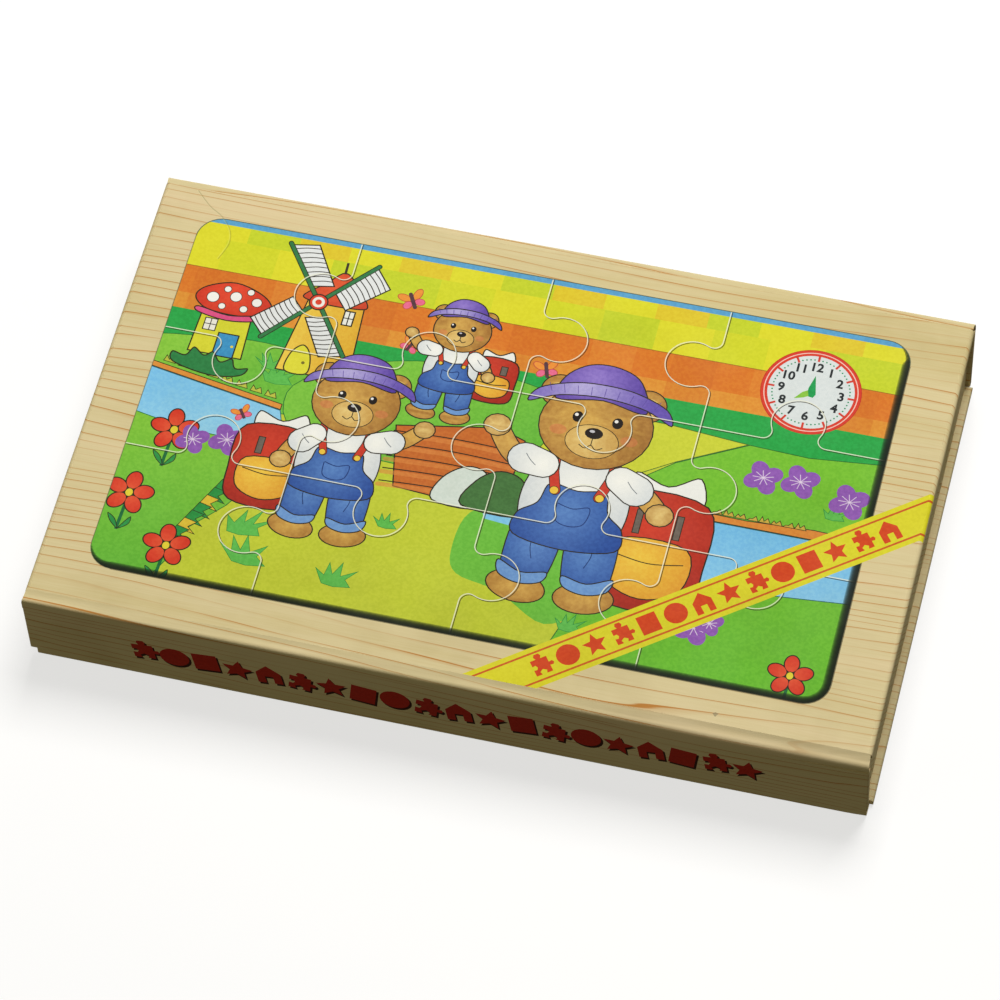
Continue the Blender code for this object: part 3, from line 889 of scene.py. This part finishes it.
for x, y, size, left_arm, right_arm, bag in (
    (-21, 37.6, 7.6, ((-0.74, -1.0), (-1.3, -0.95), (-1.72, -0.45)),
     ((0.72, -1.06), (1.15, -1.4), (1.35, -1.75)), (-9.4, 24, 12, 14)),
    (-43, 9, 11.4, ((-0.72, -1.06), (-1.12, -1.45), (-1.32, -1.9)),
     ((0.74, -1.0), (1.3, -0.85), (1.75, -0.4)), (-60.4, -15.4, 20, 25)),
    (21, 15.5, 14.6, ((-0.74, -1.0), (-1.3, -0.9), (-1.75, -0.35)),
     ((0.72, -1.04), (1.2, -1.3), (1.55, -1.62)), (44, -19, 27, 35)),
):
    hamper(*bag)
    bear(x, y, size, (left_arm, right_arm))


def encloses(line, point):
    """Whether a point lies within a closed line, which may cross itself."""
    inside = False
    for a, b in zip(line, line[1:] + line[:1]):
        if (a.y > point.y) != (b.y > point.y):
            if point.x < a.x + (b.x - a.x) * (point.y - a.y) / (b.y - a.y):
                inside = not inside
    return inside


def printed_faces(outline, groups, spacing):
    """Cuts an outline up along all the layers. Gives its points, and for each triangle the
    points and a colour with its cover at each of its corners."""
    points, faces = [], []

    def add(line):
        faces.append(list(range(len(points), len(points) + len(line))))
        points.extend(anticlockwise(line))
        return len(faces) - 1

    def points_of(number):
        return [points[i] for i in faces[number]]

    xs, ys = [p.x for p in outline], [p.y for p in outline]
    low_x, high_x, low_y, high_y = min(xs), max(xs), min(ys), max(ys)
    dense = []
    for a, b in zip(outline, outline[1:] + outline[:1]):
        parts = max(1, int((b - a).length / spacing))
        dense += [a.lerp(b, k / parts) for k in range(parts)]
    sheet = add(dense)
    layers = {}
    for clip, artwork in groups:
        limit = add(clip) if clip else sheet
        for line, colour, cover in artwork:
            if (max(p.x for p in line) > low_x and min(p.x for p in line) < high_x
                    and max(p.y for p in line) > low_y and min(p.y for p in line) < high_y):
                layers[add(line)] = (limit, colour, cover)
    across, upward = int((high_x - low_x) / spacing), int((high_y - low_y) / spacing)
    for i in range(1, across):
        for j in range(1, upward):
            points.append(Vector((
                low_x + (high_x - low_x) * (i + 0.5 * (j % 2)) / (across + 0.5),
                low_y + (high_y - low_y) * j / upward,
            )))
    found, _, triangles, _, _, sources = delaunay_2d_cdt(points, [], faces, 1, 1e-5)
    known = {}

    def shown_at(v, stack):
        if (v, stack) not in known:
            shown, covered_by = (0.0, 0.0, 0.0), 0.0
            for number in stack:
                _, colour, cover = layers[number]
                over = colour(found[v].x, found[v].y) if callable(colour) else colour
                shown = mixed(shown, over, cover) if covered_by else over
                covered_by += (1 - covered_by) * cover
            known[v, stack] = (shown, covered_by)
        return known[v, stack]

    limits = {}
    for number in layers:
        xs, ys = [p.x for p in points_of(number)], [p.y for p in points_of(number)]
        limits[number] = (min(xs), max(xs), min(ys), max(ys))
    middles = [(found[t[0]] + found[t[1]] + found[t[2]]) / 3 for t in triangles]

    def beyond(number, point):
        left, right, bottom, top = limits[number]
        return not (left < point.x < right and bottom < point.y < top)

    # An outline that crosses itself can leak, so its triangles are tested one by one.
    leaking = {
        number for middle, source in zip(middles, sources) for number in source
        if number in limits and beyond(number, middle)
    }
    kept = []
    for triangle, middle, source in zip(triangles, middles, sources):
        inside = {n for n in source if n not in leaking or encloses(points_of(n), middle)}
        if sheet not in inside or len(set(triangle)) < 3:
            continue
        stack = sorted(n for n in inside if n in layers and layers[n][0] in inside)
        solid = [i for i, n in enumerate(stack) if layers[n][2] == 1.0]
        stack = tuple(stack[solid[-1]:] if solid else stack)
        kept.append((triangle, [shown_at(v, stack) for v in triangle]))
    return found, kept


def printed_solid(name, found, kept, place, rings):
    """A closed solid under a printed face. place puts a point of the drawing in space with a
    step outwards and a step down; rings are the steps from the face to the back."""
    mesh = bmesh.new()
    colours = mesh.loops.layers.float_color.new("picture")
    used = {}
    for triangle, _ in kept:
        for v in triangle:
            if v not in used:
                used[v] = mesh.verts.new(place(found[v], Vector((0, 0)), 0.0, 0.0))
    for triangle, corners in kept:
        face = mesh.faces.new([used[v] for v in triangle])
        for loop, (shown, cover) in zip(face.loops, corners):
            loop[colours] = (*tint(*shown)[:3], cover)
    where = {vertex: found[v] for v, vertex in used.items()}
    border = [edge for edge in mesh.edges if len(edge.link_faces) == 1]
    following, edge_colours = {}, {}
    for edge in border:
        loop = edge.link_loops[0]
        following[loop.vert] = loop.link_loop_next.vert
        edge_colours[loop.vert] = (Vector(loop[colours]), Vector(loop.link_loop_next[colours]))
    start = next(iter(following))
    loop_line = [start]
    while following[loop_line[-1]] != start:
        loop_line.append(following[loop_line[-1]])
    flat = [where[v] for v in loop_line]
    count = len(flat)
    outward = []
    for i, point in enumerate(flat):
        before = (point - flat[i - 1]).normalized()
        after = (flat[(i + 1) % count] - point).normalized()
        side = Vector((before.y + after.y, -before.x - after.x)).normalized()
        outward.append(side / max(0.5, side.dot(Vector((after.y, -after.x)))))
    last = loop_line
    for number, (out, down_by) in enumerate(rings):
        ring = [mesh.verts.new(place(point, way, out, down_by)) for point, way in zip(flat, outward)]
        # The print runs over the rounded edge, but not down the side.
        inked_here = number < len(rings) - 2
        for i in range(count):
            j = (i + 1) % count
            face = mesh.faces.new((last[j], last[i], ring[i], ring[j]))
            for loop, end in zip(face.loops, (1, 0, 0, 1)):
                loop[colours] = edge_colours[loop_line[i]][end] if inked_here else (0, 0, 0, 0)
        last = ring
    back = mesh.faces.new(list(reversed(last)))
    for loop in back.loops:
        loop[colours] = (0, 0, 0, 0)
    bmesh.ops.triangulate(mesh, faces=[back])
    made = bpy.data.meshes.new(name)
    mesh.to_mesh(made)
    mesh.free()
    piece = bpy.data.objects.new(name, made)
    view.collection.objects.link(piece)
    return piece


# --- Jigsaw ------------------------------------------------------------------
# Twelve pieces sawn from 5 mm plywood with the picture pasted on top, in a pine
# frame of the same thickness that is glued on a thin plywood back.


def timber(tree, place, pale, dark, line, stretch):
    """Real wood: slow bands, growth lines and pores along the board. Gives colour and pores."""
    slow = noisy(tree, place, 1.0, 3.0, stretch)
    part = maths(tree, "FRACT", maths(tree, "MULTIPLY", slow, 26.0))
    rings = ramp(tree, part, (
        (0.0, (0, 0, 0)), (0.6, (0.15, 0.15, 0.15)), (0.92, (1, 1, 1)), (1.0, (0, 0, 0)),
    ), smooth=False)
    band = noisy(tree, place, 1.0, 3.0, tuple(s * 2.3 for s in stretch))
    ground = ramp(tree, band, ((0.3, dark), (0.6, pale)))
    pores = noisy(tree, place, 1.0, 2.0, tuple(s * 30 for s in stretch), 0.7)
    ground = mix_colour(tree, 0.22, ground, ramp(tree, pores, ((0.35, line), (0.6, pale))))
    return mix_colour(tree, maths(tree, "MULTIPLY", rings, 0.42), ground, line), pores


PLY = 0.0021  # a pale ply and a dark one together


def ply_wood(tree, place, share):
    """Plywood with its dark plies, which show as strongly as the share says."""
    wood, pores = timber(tree, place, tint(222, 196, 148), tint(200, 168, 116),
                         tint(170, 128, 76), (7, 60, 30))
    depth = node(tree, "SeparateXYZ", i0=place).outputs[2]
    plies = maths(tree, "FRACT", maths(tree, "MULTIPLY", depth, 1 / PLY))
    dark = maths(tree, "MULTIPLY", maths(tree, "GREATER_THAN", plies, 0.52), share)
    return mix_colour(tree, dark, wood, tint(158, 112, 62)), pores


ply_finish, tree, shader = finish("plywood", 0.62)
place = node(tree, "TexCoord").outputs["Object"]
facing = node(tree, "NewGeometry").outputs["True Normal"]
level = node(tree, "SeparateXYZ", i0=facing).outputs[2]
on_side = maths(tree, "LESS_THAN", maths(tree, "ABSOLUTE", level), 0.5)
colour, pores = ply_wood(tree, place, maths(tree, "MULTIPLY", on_side, 0.55))
tree.links.new(colour, shader.inputs["Base Color"])
bump(tree, shader, pores, 0.25, 0.0003)

pine_finish, tree, shader = finish("pine", 0.5)
place = node(tree, "TexCoord").outputs["Object"]
colour, pores = timber(tree, place, tint(230, 208, 160), tint(216, 188, 134),
                       tint(196, 142, 74), (5, 42, 30))
tree.links.new(colour, shader.inputs["Base Color"])
bump(tree, shader, pores, 0.25, 0.0003)

picture_finish, tree, shader = finish("pasted_picture", 0.52)
place = node(tree, "TexCoord").outputs["Object"]
wood, pores = ply_wood(tree, place, 0.5)
tree.links.new(printed_over(tree, place, wood), shader.inputs["Base Color"])
shader.inputs["Specular IOR Level"].default_value = 0.15
bump(tree, shader, noisy(tree, place, 160.0, 3.0), 0.12, 0.0003)

backing = block("puzzle_back_panel", *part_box("puzzle_backing"))
round_edges(backing, 0.0028, 5, lambda p, d: abs(d.z) > 0.5)
round_edges(backing, 0.0003, 2, lambda p, d: abs(d.z) < 0.1)
smooth(backing)
covered(backing, "puzzle", "plywood", ply_finish, "puzzle_backing")


def node_outline(name, largest=True):
    """The outer outline of a CAD plate, anticlockwise, in metres."""
    mesh = bmesh.new()
    mesh.from_mesh(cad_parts[name].data)
    bmesh.ops.remove_doubles(mesh, verts=mesh.verts, dist=1e-6)
    top = max(v.co.z for v in mesh.verts)
    faces = [f for f in mesh.faces if all(v.co.z > top - 1e-5 for v in f.verts)]
    following = {}
    for face in faces:
        for loop in face.loops:
            if not any(f in faces and f != face for f in loop.edge.link_faces):
                following[loop.vert] = loop.link_loop_next.vert
    lines = []
    while following:
        start = next(iter(following))
        line = [start]
        while following[line[-1]] != start:
            line.append(following.pop(line[-1]))
        following.pop(line[-1])
        lines.append([Vector((v.co.x, v.co.y)) for v in line])
    mesh.free()
    lines.sort(key=lambda line: max(p.x for p in line) - min(p.x for p in line))
    return lines[-1] if largest else lines[0]


def cad_copy(cad_name, name):
    """A copy of a CAD node, with each flat side made one face."""
    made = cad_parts[cad_name].copy()
    made.data = made.data.copy()
    made.name = made.data.name = name
    for key in list(made.keys()):
        del made[key]
    made.parent = None
    view.collection.objects.link(made)
    made.data.materials.clear()
    deselect()
    pick(made, faces=lambda p, n: True)
    bpy.ops.mesh.remove_doubles(threshold=1e-6)
    bpy.ops.mesh.dissolve_limited(angle_limit=0.002)
    bpy.ops.object.mode_set(mode="OBJECT")
    return made


FRAME_ROUND = 0.0007
frame_low, frame_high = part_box("puzzle_frame")
frame_middle = (frame_low.z + frame_high.z) / 2
picture_frame = cad_copy("puzzle_frame", "picture_frame")
round_edges(picture_frame, FRAME_ROUND, 3,
            lambda p, d: abs(d.z) < 0.1 and abs(p.z - frame_middle) > 0.002)
smooth(picture_frame, 35)
covered(picture_frame, "puzzle", "pine", pine_finish, "puzzle_frame")

frame_hole = node_outline("puzzle_frame", largest=False)
hole_left, hole_right = min(p.x for p in frame_hole), max(p.x for p in frame_hole)
hole_x = (hole_left + hole_right) / 2
hole_y = (min(p.y for p in frame_hole) + max(p.y for p in frame_hole)) / 2
hole_scale = (hole_right - hole_left) / (WINDOW[2] - WINDOW[0])
picture_middle = Vector(((WINDOW[0] + WINDOW[2]) / 2, (WINDOW[1] + WINDOW[3]) / 2))
PIECE_ROUND = 0.00045


def jigsaw_place(top):
    """Where a point of the picture comes on a piece of the jigsaw, whose top is at this height."""
    def place(point, way, out, down_by):
        at = (point - picture_middle) * hole_scale + way * out
        return (hole_x + at.x, hole_y + at.y, top - down_by)
    return place


for row in range(1, 4):
    for column in range(1, 5):
        cad_piece = "piece_row%d_column%d" % (row, column)
        low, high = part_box(cad_piece)
        outline = [
            (p - Vector((hole_x, hole_y))) / hole_scale + picture_middle
            for p in node_outline(cad_piece)
        ]
        outline = moved_in(outline, PIECE_ROUND / hole_scale)
        found, kept = printed_faces(outline, [(None, art)], 1.6)
        r, thick = PIECE_ROUND, high.z - low.z
        jigsaw_piece = printed_solid(
            "jigsaw_" + cad_piece, found, kept, jigsaw_place(high.z),
            ((0.38 * r, 0.08 * r), (0.71 * r, 0.29 * r), (0.92 * r, 0.62 * r), (r, r), (r, thick)),
        )
        covered(jigsaw_piece, cad_piece, "picture_wood", picture_finish, cad_piece)


# --- Spine -------------------------------------------------------------------
# A narrow wrapped board, with a row of dark red toy blocks printed along it.

spine_low, spine_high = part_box("spine_board")
spine_art = Artwork()
MOTIFS = {
    "block": ((-0.42, -0.46), (0.42, -0.46), (0.42, 0.46), (-0.42, 0.46)),
    "house": (
        (-0.42, -0.5), (-0.14, -0.5), (-0.14, -0.12), (0.14, -0.12), (0.14, -0.5), (0.42, -0.5),
        (0.42, 0.1), (0, 0.52), (-0.42, 0.1),
    ),
    "piece": (
        (-0.36, -0.44), (-0.1, -0.44), (-0.15, -0.3), (0, -0.2), (0.15, -0.3), (0.1, -0.44),
        (0.36, -0.44), (0.36, -0.14), (0.5, -0.16), (0.56, -0.06), (0.5, 0.04), (0.36, 0.02),
        (0.36, 0.32), (0.1, 0.32), (0.16, 0.44), (0.1, 0.56), (-0.1, 0.56), (-0.16, 0.44),
        (-0.1, 0.32), (-0.36, 0.32), (-0.36, 0.04), (-0.22, 0.06), (-0.16, -0.06),
        (-0.22, -0.16), (-0.36, -0.14),
    ),
}


def motif(artwork, kind, x, y, size, colour, turn=0.0):
    """One small printed shape: a jigsaw piece, a block, a star, a dot or a house."""
    c, s = math.cos(turn), math.sin(turn)
    half = size / 2
    if kind == "dot":
        shape = oval(0, 0, half, count=20)
    elif kind == "star":
        shape = []
        for k in range(10):
            reach = half * (1.08 if k % 2 == 0 else 0.5)
            shape.append(Vector((reach * math.sin(k * math.pi / 5), reach * math.cos(k * math.pi / 5))))
    else:
        shape = [Vector(p) * size for p in MOTIFS[kind]]
    artwork.lay([(x + p.x * c - p.y * s, y + p.x * s + p.y * c) for p in shape], colour)


row_of_blocks = (
    "piece dot block star house piece star block dot piece "
    "house star block piece dot star house block piece star"
).split()
spine_middle = (spine_low.z + spine_high.z) * 500
for k, kind in enumerate(row_of_blocks):
    x = -81 + 8.5 * k
    lift, lean = 0.25 * (-1) ** k, 0.12 * (-1) ** k
    motif(spine_art, kind, x + 0.5, spine_middle - 0.9 + lift, 8.3, (62, 24, 14), lean)
    motif(spine_art, kind, x, spine_middle - 0.2 + lift, 8.1, (180, 40, 26), lean)


def millimetre_outline(left, right, bottom, top):
    """A rectangle given in metres, as an outline in the millimetres of the drawings."""
    return [Vector(p) * 1000 for p in ((left, bottom), (right, bottom), (right, top), (left, top))]


edge = 0.0003
outline = millimetre_outline(spine_low.x + edge, spine_high.x - edge, spine_low.z, spine_high.z)
found, kept = printed_faces(outline, [(None, spine_art)], 6.0)


def spine_place(point, way, out, down_by):
    return (point.x / 1000 + way.x * out, spine_low.y + down_by, point.y / 1000)


spine_finish = paper_finish("spine_paper", printed=True)
spine = printed_solid("spine_wrapped", found, kept, spine_place, (
    (edge * 0.7, edge * 0.3), (edge, edge), (edge, spine_high.y - spine_low.y)))
lay_paper(spine)
covered(spine, "spine", "printed_paper", spine_finish, "spine_board")


# --- Paper folds -------------------------------------------------------------
# Where the boards meet there is only paper. It runs over the edge of the lid in
# a soft round fold, puckered at the right end, and turns in under the spine.

fold_finish = paper_finish("fold_paper")
FOLD_COLUMNS, FOLD_THICK = 72, 0.0004
LID_INSET = 0.0004  # the folds start this far within the lid's ends


def strip_of_paper(name, ends, path, laid_from):
    """A sheet that follows path(share across the box). Its side edges run from the first ends to
    the last, and laid_from is where its first point lies on the laid-out paper."""
    steps = len(path(0.0)) - 1
    deselect()
    bpy.ops.mesh.primitive_grid_add(x_subdivisions=FOLD_COLUMNS, y_subdivisions=steps, size=1)
    piece = bpy.context.object
    piece.name = piece.data.name = name
    mesh = piece.data
    sheet = mesh.uv_layers.new(name="paper")
    laid = {}
    for vertex in mesh.vertices:
        share = vertex.co.x + 0.5
        number = round((0.5 - vertex.co.y) * steps)
        line = path(share)
        y, z = line[number]
        run = sum((Vector(a) - Vector(b)).length for a, b in zip(line[:number], line[1:number + 1]))
        left, right = (a + (b - a) * number / steps for a, b in zip(*ends))
        x = left + (right - left) * share
        laid[vertex.index] = (x, laid_from - run)
        vertex.co = (x, y, z)
    for loop in mesh.loops:
        sheet.data[loop.index].uv = laid[loop.vertex_index]
    deselect()
    pick(piece, faces=lambda p, n: True)
    bpy.ops.mesh.normals_make_consistent(inside=False)
    bpy.ops.object.mode_set(mode="OBJECT")
    return piece


def thicken(piece, outward):
    """Solid paper behind the outer face."""
    facing = sum((f.normal * f.area for f in piece.data.polygons), Vector())
    if facing.dot(Vector(outward)) < 0:
        pick(piece, faces=lambda p, n: True)
        bpy.ops.mesh.flip_normals()
        bpy.ops.object.mode_set(mode="OBJECT")
    wall = piece.modifiers.new("paper", "SOLIDIFY")
    wall.thickness = FOLD_THICK
    wall.offset = -1
    bpy.context.view_layer.objects.active = piece
    piece.select_set(True)
    bpy.ops.object.modifier_apply(modifier="paper")
    smooth(piece, 50)


def paper_fold(cad_name, ends, path, laid_from, outward):
    """The paper joint between two bodies: a thickened sheet that follows the path from its start to its
    end.
    """
    piece = strip_of_paper(cad_name + "_paper", ends, path, laid_from)
    thicken(piece, outward)
    piece.data.materials.append(fold_finish)
    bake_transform(piece)
    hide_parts(cad_name)


low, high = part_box("lid_fold")
lid_low, lid_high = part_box("lid_board")
# What each is at the left end, and how much more at the right.
LID_DROOP, LID_FOLD_ROUND = (0.0002, 0.0008), (0.0008, 0.0010)


def lid_fold_path(share):
    """From the lid over the edge to the spine: tight at the left, and puckered at the right."""
    pucker = max(0.0, share - 0.86) / 0.14
    droop = LID_DROOP[0] + LID_DROOP[1] * share
    r = LID_FOLD_ROUND[0] + LID_FOLD_ROUND[1] * share
    line = []
    for k in range(7):
        t = k / 6
        wave = (0.00010 * (1 + math.sin(share * 23 + 1))
                + 0.00016 * pucker * (1 + math.sin(share * 160 + k * 0.9)))
        line.append((lid_low.y + (low.y + r - lid_low.y) * t,
                     high.z - droop * t**1.2 - wave * math.sin(t * math.pi)))
    for k in range(1, 8):
        a = k / 7 * math.pi / 2
        line.append((low.y + r * (1 - math.sin(a)) + 0.0002 * pucker * math.sin(a) ** 4,
                     high.z - droop - r * (1 - math.cos(a))))
    line.append((low.y + 0.0004 * pucker, spine_high.z))
    return line


lid_ends = (lid_low.x + LID_INSET, lid_high.x - LID_INSET)
paper_fold("lid_fold", (lid_ends, (spine_low.x, spine_high.x)), lid_fold_path, -0.0662,
           (0, -1, 1))

low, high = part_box("base_fold")
base_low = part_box("base_board")[0]
FOOT_ROUND = 0.0015


def base_fold_path(share):
    """From the foot of the spine down and back under to the front edge of the base."""
    lift = max(0.0, share - 0.972) / 0.028
    outer = low.y + 0.0001
    line = [(outer, spine_low.z), (outer, spine_low.z - 0.0012)]
    for k in range(9):
        a = k / 8 * math.pi / 2
        line.append((outer + FOOT_ROUND * (1 - math.cos(a)),
                     low.z + FOOT_ROUND * (1 - math.sin(a)) + 0.0004 * lift**2))
    line.append((base_low.y - 0.0010, low.z + 0.0002 * lift**2))
    line.append((base_low.y, low.z))
    return line


paper_fold("base_fold", ((low.x, high.x), (low.x, high.x)), base_fold_path, -0.0932,
           (0, -1, -1))


# --- Lid ---------------------------------------------------------------------
# The wrapped lid board carries the printed picture with the cuts drawn in, and
# a yellow banner across one corner. The paper is round and soft at both ends.

lid_art = Artwork()
shadow_art = Artwork()
lid_columns = [WINDOW[0] + (WINDOW[2] - WINDOW[0]) * s for s in (0, 0.228, 0.498, 0.747, 1)]
lid_rows = [WINDOW[1] + (WINDOW[3] - WINDOW[1]) * s for s in (0, 0.337, 0.671, 1)]
KNOB_ROUND, KNOB_TALL, KNOB_NECK = 7.2, 13.8, 2.4
CUT_WIDTH = 0.27


def cut_line(start, end, side):
    """A drawn cut with a round knob in its middle."""
    start, end = Vector(start), Vector(end)
    along = (end - start).normalized()
    across = Vector((-along.y, along.x)) * side
    head = KNOB_TALL - KNOB_ROUND
    drop = head - KNOB_NECK
    reach = math.sqrt((KNOB_ROUND + KNOB_NECK) ** 2 - drop**2)
    tilt = math.atan2(drop, reach)
    neck = [(-reach + KNOB_NECK * math.cos(a), KNOB_NECK + KNOB_NECK * math.sin(a))
            for a in (-math.pi / 2 + (tilt + math.pi / 2) * k / 7 for k in range(8))]
    crown = [(KNOB_ROUND * math.cos(a), head + KNOB_ROUND * math.sin(a))
             for a in (math.pi + tilt - (math.pi + 2 * tilt) * k / 26 for k in range(1, 26))]
    profile = neck + crown + [(-run, rise) for run, rise in reversed(neck)]
    middle = (start + end) / 2
    return [start] + [middle + along * run + across * rise for run, rise in profile] + [end]


def draw_cut(cut, dark, light):
    """A cut as two fine lines, a dark one and a pale one, each moved a little aside."""
    for shift, colour, cover in ((dark, INK, 0.7), (light, (240, 242, 224), 0.9)):
        lid_art.lay(ribbon([p + Vector(shift) for p in cut], CUT_WIDTH), colour, cover)


for number, y in enumerate(lid_rows[1:-1], 1):
    for step in range(4):
        side = 1 if (number + step) % 2 else -1
        draw_cut(cut_line((lid_columns[step], y), (lid_columns[step + 1], y), side),
                 (0.24, -0.28), (-0.06, 0.08))
for number, x in enumerate(lid_columns[1:-1], 1):
    for step in range(3):
        side = 1 if (number + step) % 2 else -1
        draw_cut(cut_line((x, lid_rows[step]), (x, lid_rows[step + 1]), side),
                 (0.30, -0.22), (-0.08, 0.06))

# The edge of the picture is printed with a shadow at the left and the front.
for k in range(8):
    shaded_rim = window[19 + k:36] + window[:max(1, 6 - k)]
    shadow_art.lay(ribbon(shaded_rim, 2 * (0.45 + 0.24 * k)), (12, 20, 10), 0.30)

rim_art = Artwork()
rim_art.straight(window[:18], 0.3, (60, 84, 70), 0.8)
rim_art.straight(window[17:27], 0.26, (70, 84, 60), 0.6)
rim_art.straight(window[26:36] + window[:1], 0.5, (30, 38, 24), 0.7)

# Wear: a crease across the rear left corner, shown by painted shade and a painted highlight, and a
# scuff at the front right.
crease = curve([(-103, 67), (-98.4, 62.6), (-94.4, 60), (-91, 56), (-90, 51.5), (-91.6, 46)], False)
# Painted shade along the crease, and a painted highlight just beside it.
rim_art.straight(crease, 0.34, (96, 96, 40), 0.22)
rim_art.straight([p + Vector((-0.3, 0.1)) for p in crease], 0.3, (250, 250, 200), 0.2)
rim_art.lay([(70.3, -63.4), (71.0, -62.9), (72.0, -63.2), (71.6, -63.6), (71.2, -64.3)],
            (140, 132, 104), 0.7)

banner_art = Artwork()
low_corner, high_corner = Vector((3.5, -67.4)), Vector((113.4, 15.6))
banner_long = (high_corner - low_corner).length
banner_way = (high_corner - low_corner).normalized()
banner_side = Vector((banner_way.y, -banner_way.x))
BANNER_WIDTH, BANNER_PAST_EDGE = 11.8, 12


def on_banner(run, drop):
    return low_corner + banner_way * run + banner_side * drop


def banner_band(upper, lower, colour):
    """A band along the whole banner, between two distances from its upper edge."""
    first, last = -BANNER_PAST_EDGE, banner_long + BANNER_PAST_EDGE
    banner_art.lay([on_banner(first, upper), on_banner(first, lower),
                    on_banner(last, lower), on_banner(last, upper)], colour)


banner_band(0, BANNER_WIDTH, (222, 216, 42))
for middle in (1.7, BANNER_WIDTH - 1.7):
    banner_band(middle - 0.28, middle + 0.28, (206, 96, 36))
banner_shapes = "piece dot star piece block dot house star piece dot block star piece house".split()
for k, kind in enumerate(banner_shapes):
    at = on_banner(21.5 + 7.6 * k, BANNER_WIDTH / 2)
    motif(banner_art, kind, at.x, at.y, 6.3, (214, 72, 28), math.atan2(banner_way.y, banner_way.x))

LID_ROUND = 0.0013
outline = millimetre_outline(lid_low.x + LID_ROUND, lid_high.x - LID_ROUND, lid_low.y, lid_high.y)
lid_middle = (lid_low.x + lid_high.x) * 500
found, kept = printed_faces([Vector((p.x - lid_middle, p.y)) for p in outline], [
    (window, art), (window, lid_art), (window, shadow_art), (None, rim_art), (None, banner_art),
], 1.5)


def lid_place(point, way, out, down_by):
    end_only = way.x if abs(way.x) > 0.5 else 0.0
    return ((point.x + lid_middle) / 1000 + end_only * out, point.y / 1000, lid_high.z - down_by)


picture_paper = paper_finish("lid_paper", printed=True)
r = LID_ROUND
lid = printed_solid("lid_wrapped", found, kept, lid_place, (
    (0.26 * r, 0.034 * r), (0.5 * r, 0.134 * r), (0.71 * r, 0.29 * r), (0.87 * r, 0.5 * r), (r, r),
    (r, lid_high.z - lid_low.z)))
lay_paper(lid)
covered(lid, "lid", "printed_paper", picture_paper, "lid_board")


# --- Lining paper ------------------------------------------------------------
# Plain pale sheets, glued inside the lid and the spine over the turned-in edges
# of the covering paper.

LINING_INSET, LINING_THICK, LINING_SUNK = 0.006, 0.00012, 0.00003

lining = block(
    "lid_lining",
    (lid_low.x + LINING_INSET, lid_low.y + 0.004, lid_low.z - LINING_THICK),
    (lid_high.x - LINING_INSET, lid_high.y - 0.004, lid_low.z + LINING_SUNK),
)
covered(lining, "lid", "tray_card", card_finish)
lining = block(
    "spine_lining",
    (spine_low.x + LINING_INSET, spine_high.y - LINING_SUNK, spine_low.z + 0.0008),
    (spine_high.x - LINING_INSET, spine_high.y + LINING_THICK, spine_high.z - 0.0008),
)
covered(lining, "spine", "tray_card", card_finish)


# --- Closing flap ------------------------------------------------------------
# The lid's rear edge turns down in a paper fold and ends in a wrapped flap that
# leans in against the base.

flap = cad_copy("closing_flap", "flap_wrapped")
smooth(flap)
lay_paper(flap)
covered(flap, "flap", "printed_paper", covering, "closing_flap")

flap_low, flap_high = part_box("closing_flap")
flap_top = max((v.co for v in flap.data.vertices), key=lambda p: p.y + 0.2 * p.z)
FOLD_SQUARE = 0.4  # 1 is a quarter circle, 0 a square corner


def flap_fold_path(share):
    """A crisp quarter turn from the lid to the top of the flap."""
    line = []
    for k in range(11):
        a = k / 10 * math.pi / 2
        line.append((lid_high.y + (flap_top.y - lid_high.y) * math.sin(a) ** FOLD_SQUARE,
                     flap_top.z + (lid_high.z - flap_top.z) * math.cos(a) ** FOLD_SQUARE))
    return line


paper_fold("flap_fold", (lid_ends, (flap_low.x, flap_high.x)), flap_fold_path, 0.0723,
           (0, 1, 1))

deselect()
size = {"cad": [list(c) for c in cad_box], "visual": [list(c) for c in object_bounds()]}
